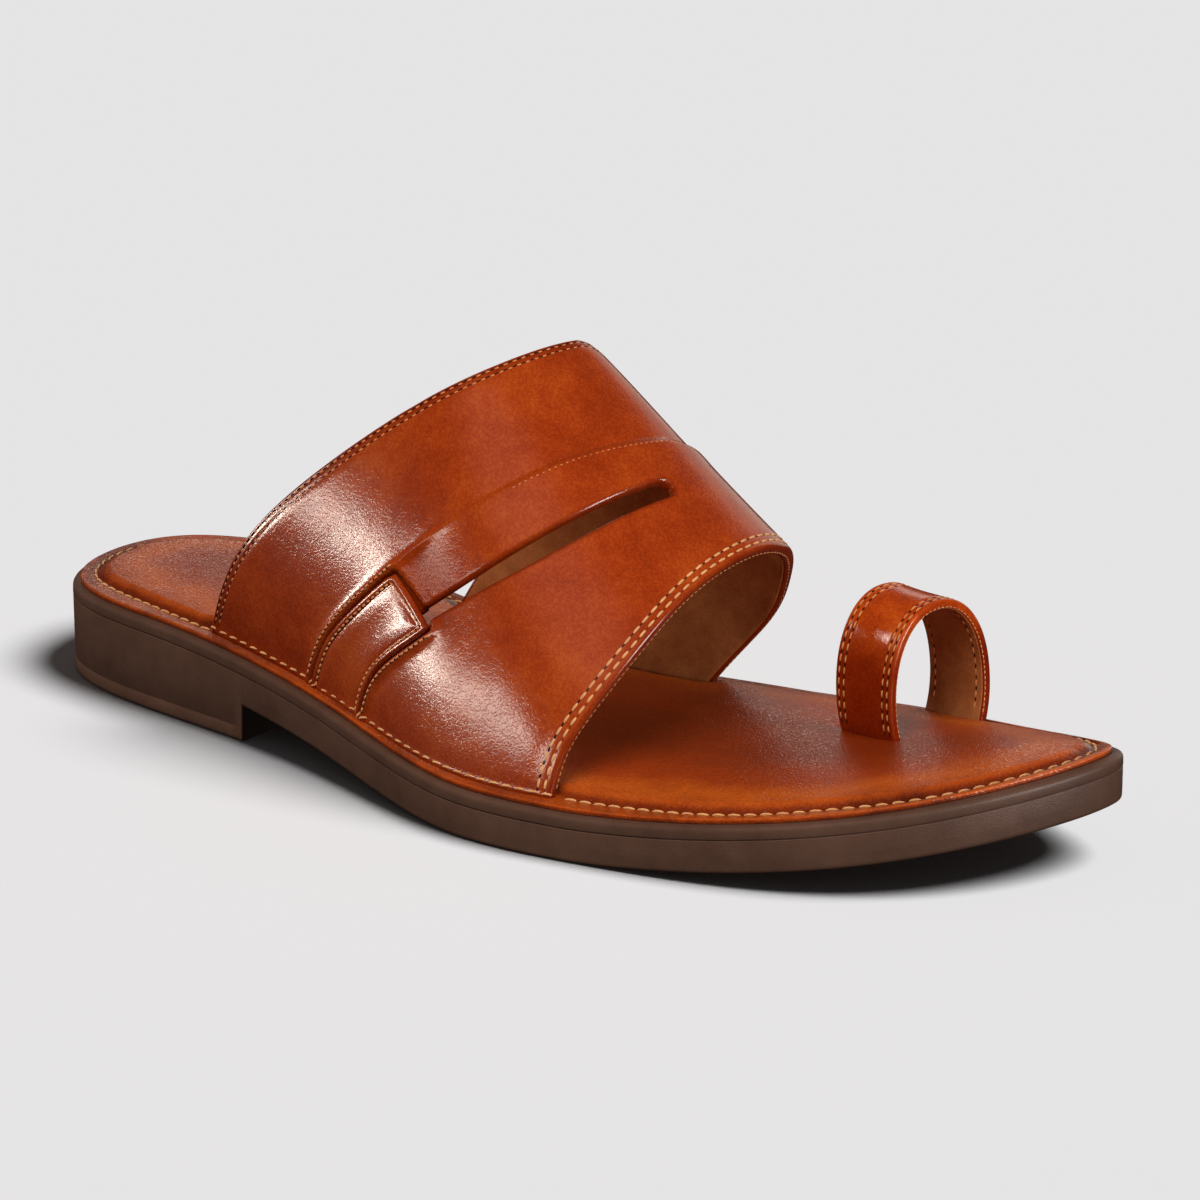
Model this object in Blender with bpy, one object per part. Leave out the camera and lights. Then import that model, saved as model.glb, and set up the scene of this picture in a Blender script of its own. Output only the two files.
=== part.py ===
"""Right-foot toe ring sandal: moulded outsole, padded insole, band upper, keeper tab and toe ring.

The model stands on its sole: +X points to the toe, +Y to the big-toe side and +Z up, and the
origin is on the ground under the middle of the outsole.

The forms are worked out in "last" coordinates, in millimetres: along runs from the back of the
heel to the toe, side is measured from the heel's middle towards the big toe, and height from the
ground. The function `place` turns last coordinates into metres about the origin.
"""
from collections import namedtuple

import bpy
import numpy as np

# ---------------------------------------------------------------- driving dimensions, millimetres
LENGTH = 285.8              # outsole, heel to toe
BALL_WIDTH = 105.0          # outsole, across the ball
INSTEP_HEIGHT = 101.0       # top of the band at its rear edge, above the ground

HEEL_LIFT = 11.7            # how far the heel end of the sole slab is raised
LIFT_TOP = 38.0             # the slab starts to come down here ...
LIFT_END = 160.0            # ... and lies flat on the ground from here
SPRING_START = 183.0        # the toe starts to turn up here
TOE_SPRING = 15.2           # height of the slab's underside at the toe
SPRING_POWER = 1.6
SLAB_THICKNESS = 11.3       # rubber slab, underside to the seat of the insole
BREAST = 76.0               # front wall of the heel block
BREAST_DRAFT = 0.2
SOLE_DRAFT = 0.0            # the ground outline is this much inside the top one
TOP_ROUND = 1.3             # rounding of the rubber's top edge
FOOT_ROUND = 0.8            # rounding of its ground edge

GAP = 0.3                   # clearance wherever two pieces meet
LEATHER_LEDGE = 2.0         # rubber showing outside the insole ...
TOE_LEDGE = 2.6             # ... and a little more of it round the tip
TOE_LEDGE_START = 255.0
RIM_THICKNESS = 1.0         # flat leather rim of the insole
RIM_ROUND = 0.3
RIM_WIDTH = 7.2             # rubber edge to the foot of the pad, where no strap stands
STRAP_SEAT = 2.4            # extra rim where the band stands
PAD_RISE = 1.4              # the pad's quick rise beside the rim ...
PAD_RUN = 3.0
CROWN_HEEL = 0.6            # ... and its slow crown over the middle, under the heel
CROWN_TOE = 2.4             # and under the forefoot
CROWN_RUN = 26.0

WALL = 2.4                  # band upper, leather and lining
RIDGE_STEP = 0.9            # the front layer of the band stands this much proud
RIDGE_RUN = 2.0
RIDGE_FADE = 0.05           # share of the way over the foot that the step takes to fade out
SLOT_START = 0.125          # the slot runs between these shares of the way over the foot
SLOT_END = 0.457
SLOT_ROUND = 0.012

TAB_THICKNESS = 1.4
TAB_TOP_REAR = 0.149        # the tab's top edge slants between these shares of the way over
TAB_TOP_FRONT = 0.128
TAB_CORNER = 0.12           # share of the tab's half width that its top corners are rounded by
DENT = 1.2                  # the band is drawn in under the tab
DENT_REACH = 13.0

RING_CENTRE = (226.0, 28.0, 18.6)
RING_YAW = -12.5            # degrees: the ring follows the big toe
RING_LEAN = 3.6             # degrees: it leans back with the toe spring
RING_WIDTH = 18.6
RING_THICKNESS = 2.2
RING_HALF_SPAN = 16.2
RING_HEIGHT = 32.0
RING_WAIST = 9.5            # height of the ring's widest place above its seat
RING_SQUARENESS = 2.15

# ---------------------------------------------------------------- tables, millimetres and degrees
Landmark = namedtuple("Landmark", "name along side")
OUTLINE = (
    Landmark("back of the heel", 0.0, 0.0),
    Landmark("outer heel corner", 8.4, -23.4),
    Landmark("outer heel", 41.5, -34.6),
    Landmark("outer waist", 102.0, -42.0),
    Landmark("behind the little toe joint", 150.5, -54.4),
    Landmark("little toe joint", 188.2, -51.8),
    Landmark("little toe", 239.2, -36.7),
    Landmark("third toe", 273.8, -8.6),
    Landmark("tip", 285.7, 21.8),
    Landmark("big toe corner", 276.0, 31.7),
    Landmark("big toe", 249.6, 41.2),
    Landmark("big toe joint", 204.5, 50.0),
    Landmark("inner waist", 134.5, 38.2),
    Landmark("inner heel", 60.7, 34.6),
    Landmark("inner heel corner", 10.3, 22.2),
)

# Cross-sections of the form that the band is drawn over. Each side rises from its foot at a lean
# (degrees inward from upright) and arrives level at the crown. rise and reach are how strongly it
# keeps those directions, as shares of the section's height and half width. foot is how far inside
# the rubber's edge that side of the band stands.
Section = namedtuple("Section", "along crown crown_side "
                                "foot_lat rise_lat reach_lat lean_lat "
                                "foot_med rise_med reach_med lean_med")
BAND_SECTIONS = (
    Section(60.0, 1.290, 3.7, 5.2, 0.50, 0.61, -12.0, 5.4, 0.54, 0.64, -5.5),
    Section(95.0, 1.190, 7.5, 4.8, 0.44, 0.61, -5.0, 5.4, 0.53, 0.62, -5.5),
    Section(130.0, 1.065, 10.8, 5.2, 0.39, 0.61, 2.0, 5.4, 0.52, 0.61, -5.5),
    Section(165.0, 0.799, 12.3, 6.1, 0.33, 0.60, 8.5, 5.4, 0.51, 0.60, -5.5),
    Section(200.0, 0.507, 13.3, 6.6, 0.28, 0.60, 15.0, 5.4, 0.50, 0.58, -5.5),
)

# Lines across the band, as the place along the foot at each share of the way over it, from the
# outer foot of the band (0) over the crown (0.5) to the inner one (1).
Line = namedtuple("Line", "over rear ridge slot_rear slot_front front")
BAND_LINES = (
    Line(0.00, 60.9, 96.0, 108.0, 112.0, 177.6),
    Line(0.08, 72.3, 108.0, 121.0, 125.5, 178.9),
    Line(0.16, 88.9, 122.7, 138.3, 142.0, 182.7),
    Line(0.26, 111.3, 140.8, 154.8, 159.0, 187.2),
    Line(0.38, 131.6, 155.6, 167.1, 170.8, 190.1),
    Line(0.50, 140.1, 164.3, 173.4, 176.7, 191.7),
    Line(0.64, 138.3, 165.0, 174.5, 177.7, 190.3),
    Line(0.80, 122.3, 155.0, 164.0, 167.5, 183.4),
    Line(0.90, 107.4, 144.0, 152.8, 156.4, 176.1),
    Line(1.00, 90.9, 131.0, 140.0, 143.5, 162.2),
)

TabEdge = namedtuple("TabEdge", "over rear front")
TAB_EDGES = (
    TabEdge(0.00, 97.0, 115.6),
    TabEdge(0.05, 102.6, 120.6),
    TabEdge(0.10, 112.7, 131.4),
    TabEdge(0.15, 123.6, 142.0),
)

# ---------------------------------------------------------------- mesh fineness
STATIONS = 46               # along the sole, heel to toe
ACROSS = 8                  # across the sole's flat faces
BAND_ROWS = 44              # over the foot
BAND_COLUMNS = (7, 1, 3, 1, 4)   # rear edge, ridge, ridge's foot, slot, slot's far side, front edge
TAB_ROWS = 12
TAB_COLUMNS = 6
RING_ROWS = 34
RING_COLUMNS = 3
DENSE = 3000


# ---------------------------------------------------------------- curves
def spline(knots, values, at, closed=False):
    """Cubic spline through values at knots, with natural ends or, if closed, as a smooth loop."""
    knots = np.asarray(knots, float)
    values = np.asarray(values, float)
    at = np.asarray(at, float)
    gaps = np.diff(knots)
    slopes = (np.diff(values, axis=0).T / gaps).T
    count = len(knots)
    matrix = np.zeros((count, count))
    target = np.zeros_like(values)
    inner = np.arange(1, count - 1)
    matrix[inner, inner - 1] = gaps[:-1]
    matrix[inner, inner] = 2 * (gaps[:-1] + gaps[1:])
    matrix[inner, inner + 1] = gaps[1:]
    target[inner] = 6 * np.diff(slopes, axis=0)
    if closed:
        matrix[0, 0] = 2 * (gaps[-1] + gaps[0])
        matrix[0, 1] = gaps[0]
        matrix[0, -2] = gaps[-1]
        target[0] = 6 * (slopes[0] - slopes[-1])
        matrix[-1, 0] = 1
        matrix[-1, -1] = -1
    else:
        matrix[0, 0] = 1
        matrix[-1, -1] = 1
    bend = np.linalg.solve(matrix, target)
    cell = np.clip(np.searchsorted(knots, at, side="right") - 1, 0, count - 2)
    width = gaps[cell]
    right = (at - knots[cell]) / width
    left = 1 - right
    if values.ndim == 2:
        width, left, right = width[:, None], left[:, None], right[:, None]
    curved = (left ** 3 - left) * bend[cell] + (right ** 3 - right) * bend[cell + 1]
    return left * values[cell] + right * values[cell + 1] + curved * width ** 2 / 6


def read(table, column, at, key):
    """A table's column as a smooth function of its key column."""
    knots = [getattr(row, key) for row in table]
    values = [getattr(row, column) for row in table]
    return spline(knots, values, at)


def ease(share):
    """Smooth step: 0 up to share 0, 1 from share 1 on, level at both ends."""
    share = np.clip(share, 0, 1)
    return share * share * (3 - 2 * share)


def place(points):
    """Last coordinates in millimetres to metres about the origin under the sole's middle."""
    middle = np.array([LENGTH / 2, OUTLINE_MIDDLE, 0.0])
    return (np.asarray(points) - middle) * 0.001


# ---------------------------------------------------------------- the sole's form
def underside(along):
    """Height of the rubber slab's underside: raised at the heel, flat at the ball, up at the toe."""
    down = np.clip((along - LIFT_TOP) / (LIFT_END - LIFT_TOP), 0, 1)
    lift = HEEL_LIFT * (1 + np.cos(np.pi * down)) / 2
    up = np.clip((along - SPRING_START) / (LENGTH - SPRING_START), 0, None)
    return lift + TOE_SPRING * up ** SPRING_POWER


def rubber_top(along):
    return underside(along) + SLAB_THICKNESS


def rim_top(along):
    return rubber_top(along) + GAP + RIM_THICKNESS


def ground_face(along, station):
    """Height of what faces the ground: zero under the heel block, the slab's underside past it."""
    return np.where(station < BREAST, 0.0, underside(along))


def dense_outline():
    """The outsole's outline as many points and inward normals, counter-clockwise from above."""
    marks = np.array([(mark.along, mark.side) for mark in OUTLINE])
    loop = np.vstack([marks, marks[:1]])
    steps = np.sqrt(np.linalg.norm(np.diff(loop, axis=0), axis=1))
    knots = np.concatenate([[0.0], np.cumsum(steps)])
    at = np.linspace(0, knots[-1], DENSE, endpoint=False)
    points = spline(knots, loop, at, closed=True)
    low, high = points.min(axis=0), points.max(axis=0)
    size = np.array([LENGTH, BALL_WIDTH])
    points = (points - low) / (high - low) * size + np.array([0.0, low[1]])
    tangents = np.roll(points, -1, axis=0) - np.roll(points, 1, axis=0)
    normals = np.column_stack([-tangents[:, 1], tangents[:, 0]])
    return points, normals / np.linalg.norm(normals, axis=1)[:, None]


OUTLINE_POINTS, OUTLINE_NORMALS = dense_outline()
OUTLINE_MIDDLE = (OUTLINE_POINTS[:, 1].min() + OUTLINE_POINTS[:, 1].max()) / 2


def outline_side(stations, inset, outer):
    """One side of the outline, read at stations along the foot and moved inward by inset."""
    heel = OUTLINE_POINTS[:, 0].argmin()
    points = np.roll(OUTLINE_POINTS, -heel, axis=0)
    normals = np.roll(OUTLINE_NORMALS, -heel, axis=0)
    toe = points[:, 0].argmax()
    if outer:
        points, normals = points[:toe + 1], normals[:toe + 1]
    else:
        points, normals = points[toe:][::-1], normals[toe:][::-1]
    read_at = np.clip(stations, points[0, 0], points[-1, 0])
    side = np.interp(read_at, points[:, 0], points[:, 1])
    normal = np.column_stack([np.interp(read_at, points[:, 0], normals[:, axis]) for axis in (0, 1)])
    normal /= np.linalg.norm(normal, axis=1)[:, None]
    return np.column_stack([read_at, side]) + normal * np.reshape(inset, (-1, 1))


def stations():
    """Places along the foot, closer together at both ends and at the heel's breast."""
    turn = np.linspace(0, np.pi, STATIONS + 1)
    places = LENGTH * (1 - np.cos(turn)) / 2
    near = np.abs(places - BREAST).argmin()
    breast = [BREAST - BREAST_DRAFT / 2, BREAST + BREAST_DRAFT / 2]
    return np.concatenate([places[:near], breast, places[near + 1:]])


def ring_of(inset):
    """A closed ring round the sole: the outer side from heel to toe, then the inner side back."""
    along = stations()
    inset = np.broadcast_to(inset, along.shape)
    outer = outline_side(along, inset, outer=True)
    inner = outline_side(along, inset, outer=False)
    return np.vstack([outer, inner[-2:0:-1]])


def distance_inside(points, loop):
    """Distance from each point to the nearest edge of a closed loop."""
    start = loop
    edge = np.roll(loop, -1, axis=0) - loop
    offset = points[:, None, :] - start[None, :, :]
    share = np.clip((offset * edge).sum(-1) / (edge ** 2).sum(-1), 0, 1)
    return np.linalg.norm(offset - share[..., None] * edge, axis=-1).min(axis=1)


def pad_edge():
    """How far inside the rubber's edge the insole's pad begins, at each station."""
    along = stations()
    first = BAND_LINES[0]
    under_band = ease((along - first.rear + 12) / 12) * ease((first.front + 12 - along) / 12)
    return RIM_WIDTH + STRAP_SEAT * under_band


# ---------------------------------------------------------------- the band's form
def tab_middle(over):
    return (read(TAB_EDGES, "rear", over, "over") + read(TAB_EDGES, "front", over, "over")) / 2


def band_point(along, over):
    """Point on the form under the band's outer face, at a place along and a share over the foot."""
    along, over = np.broadcast_arrays(np.asarray(along, float), np.asarray(over, float))
    shape = along.shape
    along, over = along.ravel(), over.ravel()
    outer = over <= 0.5
    value = {name: read(BAND_SECTIONS, name, along, "along") for name in Section._fields[1:]}
    rise = np.where(outer, value["rise_lat"], value["rise_med"])
    reach = np.where(outer, value["reach_lat"], value["reach_med"])
    lean = np.radians(np.where(outer, value["lean_lat"], value["lean_med"]))
    foot = np.where(outer,
                    outline_side(along, 0.0, True)[:, 1] + value["foot_lat"],
                    outline_side(along, 0.0, False)[:, 1] - value["foot_med"])
    base = rim_top(along) + GAP
    crown = value["crown"] * INSTEP_HEIGHT
    height = crown - base
    half = value["crown_side"] - foot
    up = np.where(outer, over, 1 - over) * 2
    down = 1 - up
    side = (down ** 3 * foot
            + 3 * up * down ** 2 * (foot + np.sign(half) * rise * height * np.tan(lean))
            + 3 * up ** 2 * down * (value["crown_side"] - reach * half)
            + up ** 3 * value["crown_side"])
    tall = (down ** 3 * base
            + 3 * up * down ** 2 * (base + rise * height)
            + (3 * up ** 2 * down + up ** 3) * crown)
    drawn_in = np.exp(-((along - tab_middle(over)) / DENT_REACH) ** 2)
    drawn_in *= 1 - ease((over - TAB_TOP_FRONT) / (SLOT_END - TAB_TOP_FRONT) * 3)
    side = side + DENT * drawn_in
    return np.column_stack([along, side, tall]).reshape(shape + (3,))


def band_normal(along, over):
    """Outward normal of the band's form."""
    step_along, step_over = 0.5, 0.004
    low = np.clip(over - step_over, 0, 1)
    high = np.clip(over + step_over, 0, 1)
    forward = band_point(along + step_along, over) - band_point(along - step_along, over)
    across = band_point(along, high) - band_point(along, low)
    normal = np.cross(forward, across)
    return normal / np.linalg.norm(normal, axis=-1, keepdims=True)


def band_face(along, over, lift):
    """The band's form moved outward by lift, with its feet kept level with the rim."""
    face = band_point(along, over) + band_normal(along, over) * np.asarray(lift)[..., None]
    floor = rim_top(face[..., 0]) + GAP
    at_foot = (over <= 0) | (over >= 1)
    face[..., 2] = np.where(at_foot, floor, np.maximum(face[..., 2], floor))
    return face


def ridge_lift(along, over):
    """Step from the band's rear layer up to its front layer, fading out at the keeper tab."""
    ridge = read(BAND_LINES, "ridge", over.ravel(), "over").reshape(over.shape)
    past = (along - ridge) / RIDGE_RUN
    present = ease((over - TAB_TOP_REAR) / RIDGE_FADE) * ease((1.0 - over) / RIDGE_FADE)
    return RIDGE_STEP * ease(past) * present


# ---------------------------------------------------------------- the ring's form
def ring_axes():
    """Width, span and upright directions of the toe ring."""
    yaw, lean = np.radians(RING_YAW), np.radians(RING_LEAN)
    width = np.array([np.cos(yaw) * np.cos(lean), np.sin(yaw) * np.cos(lean), np.sin(lean)])
    span = np.array([-np.sin(yaw), np.cos(yaw), 0.0])
    return width, span, np.cross(width, span)


def ring_profile(turn, inward):
    """Span and height of the ring's arch at angle turn (pi to 0), moved inward by inward."""
    top = RING_HEIGHT - RING_WAIST
    power = 2 / RING_SQUARENESS

    def arch(angle):
        cosine, sine = np.cos(angle), np.sin(angle)
        span = RING_HALF_SPAN * np.sign(cosine) * np.abs(cosine) ** power
        high = np.where(sine >= 0, np.abs(sine) ** power, sine)
        return np.column_stack([span, RING_WAIST + top * high])

    step = 0.01
    tangent = arch(turn - step) - arch(turn + step)
    normal = np.column_stack([tangent[:, 1], -tangent[:, 0]])
    normal /= np.linalg.norm(normal, axis=1)[:, None]
    return arch(turn) + normal * inward


def ring_face(inward, widths, foot_height):
    """Grid of points on one face of the ring strap: rows over the toe, columns across its width.

    The first and last rows end the two legs at the heights that foot_height gives.
    """
    below = np.arcsin(RING_WAIST / (RING_HEIGHT - RING_WAIST))
    turn = np.linspace(np.pi + below, -below, RING_ROWS + 1)
    profile = ring_profile(turn, inward)
    width, span, upright = ring_axes()
    rows = (np.array(RING_CENTRE) + profile[:, :1] * span + profile[:, 1:] * upright)
    grid = rows[:, None, :] + np.asarray(widths)[None, :, None] * width
    for end in (0, -1):
        feet = grid[end]
        drop = (feet[:, 2] - foot_height(feet[:, 0])) / upright[2]
        foot_row = (feet - drop[:, None] * upright)[None]
        grid = np.concatenate([foot_row, grid]) if end == 0 else np.concatenate([grid, foot_row])
    return grid


# ---------------------------------------------------------------- meshes
def build_object(name, points, faces, material, parent):
    """A named mesh object from last coordinates, smooth where its faces meet gently."""
    mesh = bpy.data.meshes.new(name)
    mesh.from_pydata([tuple(point) for point in place(points)], [], faces)
    mesh.update()
    mesh.materials.append(material)
    mesh.shade_smooth()
    mesh.set_sharp_from_angle(angle=np.radians(40))
    item = bpy.data.objects.new(name, mesh)
    bpy.context.scene.collection.objects.link(item)
    item.parent = parent
    return item


def cap_faces(grid):
    """Faces over a grid of point numbers, leaving out repeated points at its pinched ends."""
    faces = []
    for near, far in zip(grid[:-1], grid[1:]):
        for column in range(len(near) - 1):
            corners = [near[column], far[column], far[column + 1], near[column + 1]]
            kept = [corner for place_in, corner in enumerate(corners)
                    if corner != corners[place_in - 1]]
            if len(kept) > 2:
                faces.append(tuple(kept))
    return faces


def slab(levels, bottom_height, top_height):
    """Closed solid from rings round the sole, with a capping grid below and above.

    levels holds (ring, height of each of its points), lowest first. The capping heights are
    functions of the points inside the first and the last ring and of their stations.
    """
    points = [np.column_stack([ring, height]) for ring, height in levels]
    size = len(points[0])
    faces = []
    for level in range(len(levels) - 1):
        low, high = level * size, (level + 1) * size
        for number in range(size):
            after = (number + 1) % size
            faces.append((low + number, low + after, high + after, high + number))
    last_station = size // 2
    total = size * len(levels)
    for level, height, flip in ((0, bottom_height, True), (len(levels) - 1, top_height, False)):
        ring = levels[level][0]
        numbers = np.arange(size) + level * size
        outer = numbers[:last_station + 1]
        inner = np.concatenate([[numbers[0]], numbers[:last_station - 1:-1]])
        shares = np.linspace(0, 1, ACROSS + 1)[1:-1]
        start = ring[1:last_station]
        finish = ring[:last_station:-1]
        inside = start[:, None, :] + shares[None, :, None] * (finish - start)[:, None, :]
        flat = inside.reshape(-1, 2)
        station_of = np.repeat(stations()[1:-1], ACROSS - 1)
        points.append(np.column_stack([flat, height(flat, station_of)]))
        middle = total + np.arange(len(flat)).reshape(last_station - 1, -1)
        total += len(flat)
        grid = []
        for station in range(last_station + 1):
            if station in (0, last_station):
                grid.append([outer[station]] * (ACROSS + 1))
            else:
                grid.append([outer[station], *middle[station - 1], inner[station]])
        cap = cap_faces(grid)
        faces += [face[::-1] for face in cap] if flip else cap
    return np.vstack(points), faces


def shell(outer, inner, kept):
    """Closed wall between two grids of points, open wherever a cell of the grid isn't kept."""
    rows, columns = outer.shape[:2]
    points = np.concatenate([outer.reshape(-1, 3), inner.reshape(-1, 3)])
    number = np.arange(rows * columns).reshape(rows, columns)
    under = rows * columns
    faces = []
    for row, column in zip(*np.nonzero(kept)):
        corners = (number[row, column], number[row, column + 1],
                   number[row + 1, column + 1], number[row + 1, column])
        faces.append(corners)
        faces.append(tuple(corner + under for corner in corners[::-1]))
        neighbours = ((row - 1, column), (row, column + 1), (row + 1, column), (row, column - 1))
        for side, (next_row, next_column) in enumerate(neighbours):
            inside = 0 <= next_row < rows - 1 and 0 <= next_column < columns - 1
            if inside and kept[next_row, next_column]:
                continue
            start, finish = corners[side], corners[(side + 1) % 4]
            faces.append((finish, start, start + under, finish + under))
    used = np.unique([corner for face in faces for corner in face])
    renumber = np.zeros(len(points), int)
    renumber[used] = np.arange(len(used))
    return points[used], [tuple(int(renumber[corner]) for corner in face) for face in faces]


def material_of(name, color, roughness):
    """Principled material with one colour."""
    material = bpy.data.materials.new(name)
    material.use_nodes = True
    shader = material.node_tree.nodes["Principled BSDF"]
    shader.inputs["Base Color"].default_value = (*color, 1.0)
    shader.inputs["Roughness"].default_value = roughness
    shader.inputs["Metallic"].default_value = 0.0
    return material


# ---------------------------------------------------------------- the pieces
def make_outsole(parent):
    """Moulded rubber unit: heel block, raised waist, flat tread under the ball and toe spring."""
    rows = (
        (SOLE_DRAFT + FOOT_ROUND, 0.0, False),
        (SOLE_DRAFT, FOOT_ROUND, False),
        (0.0, -TOP_ROUND, True),
        (0.3 * TOP_ROUND, -0.3 * TOP_ROUND, True),
        (TOP_ROUND, 0.0, True),
    )
    along = ring_of(0.0)[:, 0]
    levels = []
    for inset, rise, at_top in rows:
        ring = ring_of(inset)
        if at_top:
            height = rubber_top(along) + rise
        else:
            height = ground_face(along, along) + rise
        levels.append((ring, height))
    points, faces = slab(levels,
                         lambda flat, station: ground_face(flat[:, 0], station),
                         lambda flat, station: rubber_top(flat[:, 0]))
    material = material_of("rubber", (0.045, 0.030, 0.024), 0.55)
    return build_object("outsole", points, faces, material, parent)


def pad_height(flat, pad_loop):
    """Height of the insole's top: the rim, the pad's quick rise and the crown over the middle."""
    depth = distance_inside(flat, pad_loop)
    quick = PAD_RISE * np.sin(np.clip(depth / PAD_RUN, 0, 1) * np.pi / 2)
    crown = CROWN_HEEL + (CROWN_TOE - CROWN_HEEL) * ease((flat[:, 0] - LIFT_TOP) / LIFT_END)
    slow = crown * np.sin(np.clip(depth / CROWN_RUN, 0, 1) * np.pi / 2)
    return rim_top(flat[:, 0]) + quick + slow


def make_insole(parent):
    """Leather-covered footbed: a flat rim round a padded middle, slit for the ring's two legs."""
    along = ring_of(0.0)[:, 0]
    bottom = rubber_top(along) + GAP
    rim = rim_top(along)
    pad_loop = ring_of(pad_edge())
    shoulder = ring_of(pad_edge() + PAD_RUN)
    ledge = LEATHER_LEDGE + (TOE_LEDGE - LEATHER_LEDGE) * ease(
        (stations() - TOE_LEDGE_START) / (LENGTH - TOE_LEDGE_START))
    levels = [
        (ring_of(ledge + RIM_ROUND), bottom),
        (ring_of(ledge), bottom + RIM_ROUND),
        (ring_of(ledge), rim - RIM_ROUND),
        (ring_of(ledge + RIM_ROUND), rim),
        (pad_loop, rim_top(pad_loop[:, 0])),
        (shoulder, pad_height(shoulder, pad_loop)),
    ]
    points, faces = slab(levels,
                         lambda flat, station: rubber_top(flat[:, 0]) + GAP,
                         lambda flat, station: pad_height(flat, pad_loop))
    material = material_of("footbed_leather", (0.33, 0.10, 0.030), 0.38)
    insole = build_object("insole", points, faces, material, parent)
    half = RING_WIDTH / 2 + GAP
    widths = np.array([-half, half])
    outer = ring_face(-GAP, widths, lambda place_along: rubber_top(place_along) - 4)
    inner = ring_face(RING_THICKNESS + GAP, widths, lambda place_along: rubber_top(place_along) - 4)
    leg_rows = RING_ROWS // 5
    for name, rows in (("outer", slice(0, leg_rows)), ("inner", slice(-leg_rows, None))):
        leg_outer, leg_inner = outer[rows], inner[rows]
        kept = np.ones((len(leg_outer) - 1, 1), bool)
        points, faces = shell(leg_outer, leg_inner, kept)
        cutter = build_object("slit_cutter_" + name, points, faces, material, parent)
        cutter.hide_render = True
        cutter.display_type = "WIRE"
        cut = insole.modifiers.new("slit_" + name, "BOOLEAN")
        cut.object = cutter
        cut.operation = "DIFFERENCE"
        cut.solver = "EXACT"
    return insole


def band_grid():
    """Places along the foot for the band's grid: a row over the foot, a column between lines."""
    over = np.linspace(0, 1, BAND_ROWS + 1)
    start = np.abs(over - SLOT_START).argmin()
    finish = np.abs(over - SLOT_END).argmin()
    over[start] = SLOT_START
    over[finish] = SLOT_END
    over[finish - 1] = SLOT_END - SLOT_ROUND
    lines = {name: read(BAND_LINES, name, over, "over") for name in Line._fields[1:]}
    closing = np.zeros(len(over))
    closing[finish] = 0.3
    for near, far, toward in (("slot_rear", "slot_front", 1), ("slot_front", "slot_rear", 1)):
        lines[near + "_edge"] = lines[near] + toward * closing * (lines[far] - lines[near])
    ridge_end = lines["ridge"] + RIDGE_RUN
    bounds = [lines["rear"], lines["ridge"], ridge_end,
              lines["slot_rear_edge"], lines["slot_front_edge"], lines["front"]]
    columns = []
    for low, high, count in zip(bounds[:-1], bounds[1:], BAND_COLUMNS):
        for step in range(count):
            columns.append(low + (high - low) * step / count)
    columns.append(bounds[-1])
    along = np.column_stack(columns)
    kept = np.ones((along.shape[0] - 1, along.shape[1] - 1), bool)
    kept[start:finish, sum(BAND_COLUMNS[:3])] = False
    return along, np.broadcast_to(over[:, None], along.shape), kept


def make_upper(parent):
    """Hollow band over the instep: rear layer, proud front layer and the slot between the straps."""
    along, over, kept = band_grid()
    outer = band_face(along, over, ridge_lift(along, over))
    inner = band_face(along, over, np.full(along.shape, -WALL))
    points, faces = shell(outer, inner, kept)
    material = material_of("upper_leather", (0.30, 0.075, 0.022), 0.32)
    return build_object("upper", points, faces, material, parent)


def make_keeper_tab(parent):
    """Short strap laid over the join of the band's straps on the outer side."""
    rise = np.linspace(0, 1, TAB_ROWS + 1)[:, None]
    share = np.linspace(0, 1, TAB_COLUMNS + 1)[None, :]
    top = TAB_TOP_REAR + (TAB_TOP_FRONT - TAB_TOP_REAR) * share
    over = rise * top * np.ones_like(share)
    narrow = TAB_CORNER * ease((rise - 0.88) / 0.12)
    share = 0.5 + (share - 0.5) * (1 - narrow)
    rear = read(TAB_EDGES, "rear", over.ravel(), "over").reshape(over.shape)
    front = read(TAB_EDGES, "front", over.ravel(), "over").reshape(over.shape)
    along = rear + share * (front - rear)
    outer = band_face(along, over, np.full(along.shape, GAP + TAB_THICKNESS))
    inner = band_face(along, over, np.full(along.shape, GAP))
    kept = np.ones((TAB_ROWS, TAB_COLUMNS), bool)
    points, faces = shell(outer, inner, kept)
    material = material_of("tab_leather", (0.26, 0.062, 0.020), 0.32)
    return build_object("keeper_tab", points, faces, material, parent)


def make_toe_ring(parent):
    """Strap that arches over the big toe, both legs let into the insole's slits."""
    widths = np.linspace(-0.5, 0.5, RING_COLUMNS + 1) * RING_WIDTH

    def leg_end(along):
        return rubber_top(along) + 2 * GAP

    outer = ring_face(0.0, widths, leg_end)
    inner = ring_face(RING_THICKNESS, widths, leg_end)
    kept = np.ones((len(outer) - 1, RING_COLUMNS), bool)
    points, faces = shell(outer, inner, kept)
    material = material_of("ring_leather", (0.30, 0.075, 0.022), 0.32)
    return build_object("toe_ring", points, faces, material, parent)


def main():
    for item in list(bpy.data.objects):
        bpy.data.objects.remove(item, do_unlink=True)
    sandal = bpy.data.objects.new("toe_ring_sandal", None)
    bpy.context.scene.collection.objects.link(sandal)
    make_outsole(sandal)
    make_insole(sandal)
    make_upper(sandal)
    make_keeper_tab(sandal)
    make_toe_ring(sandal)


main()
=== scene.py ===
# %% [markdown]
# # A toe ring sandal in leather and rubber
# The sandal is a right shoe: a moulded rubber sole, a padded footbed with a stitched rim, a wide
# band over the instep with a slot and a keeper tab on its outer side, and a ring for the big toe.
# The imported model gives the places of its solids. Every visible surface here is worked out again
# with numpy on a finer grid, so that edges can roll, seams can sink and thread can stand proud.

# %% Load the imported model
from collections import namedtuple

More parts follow.
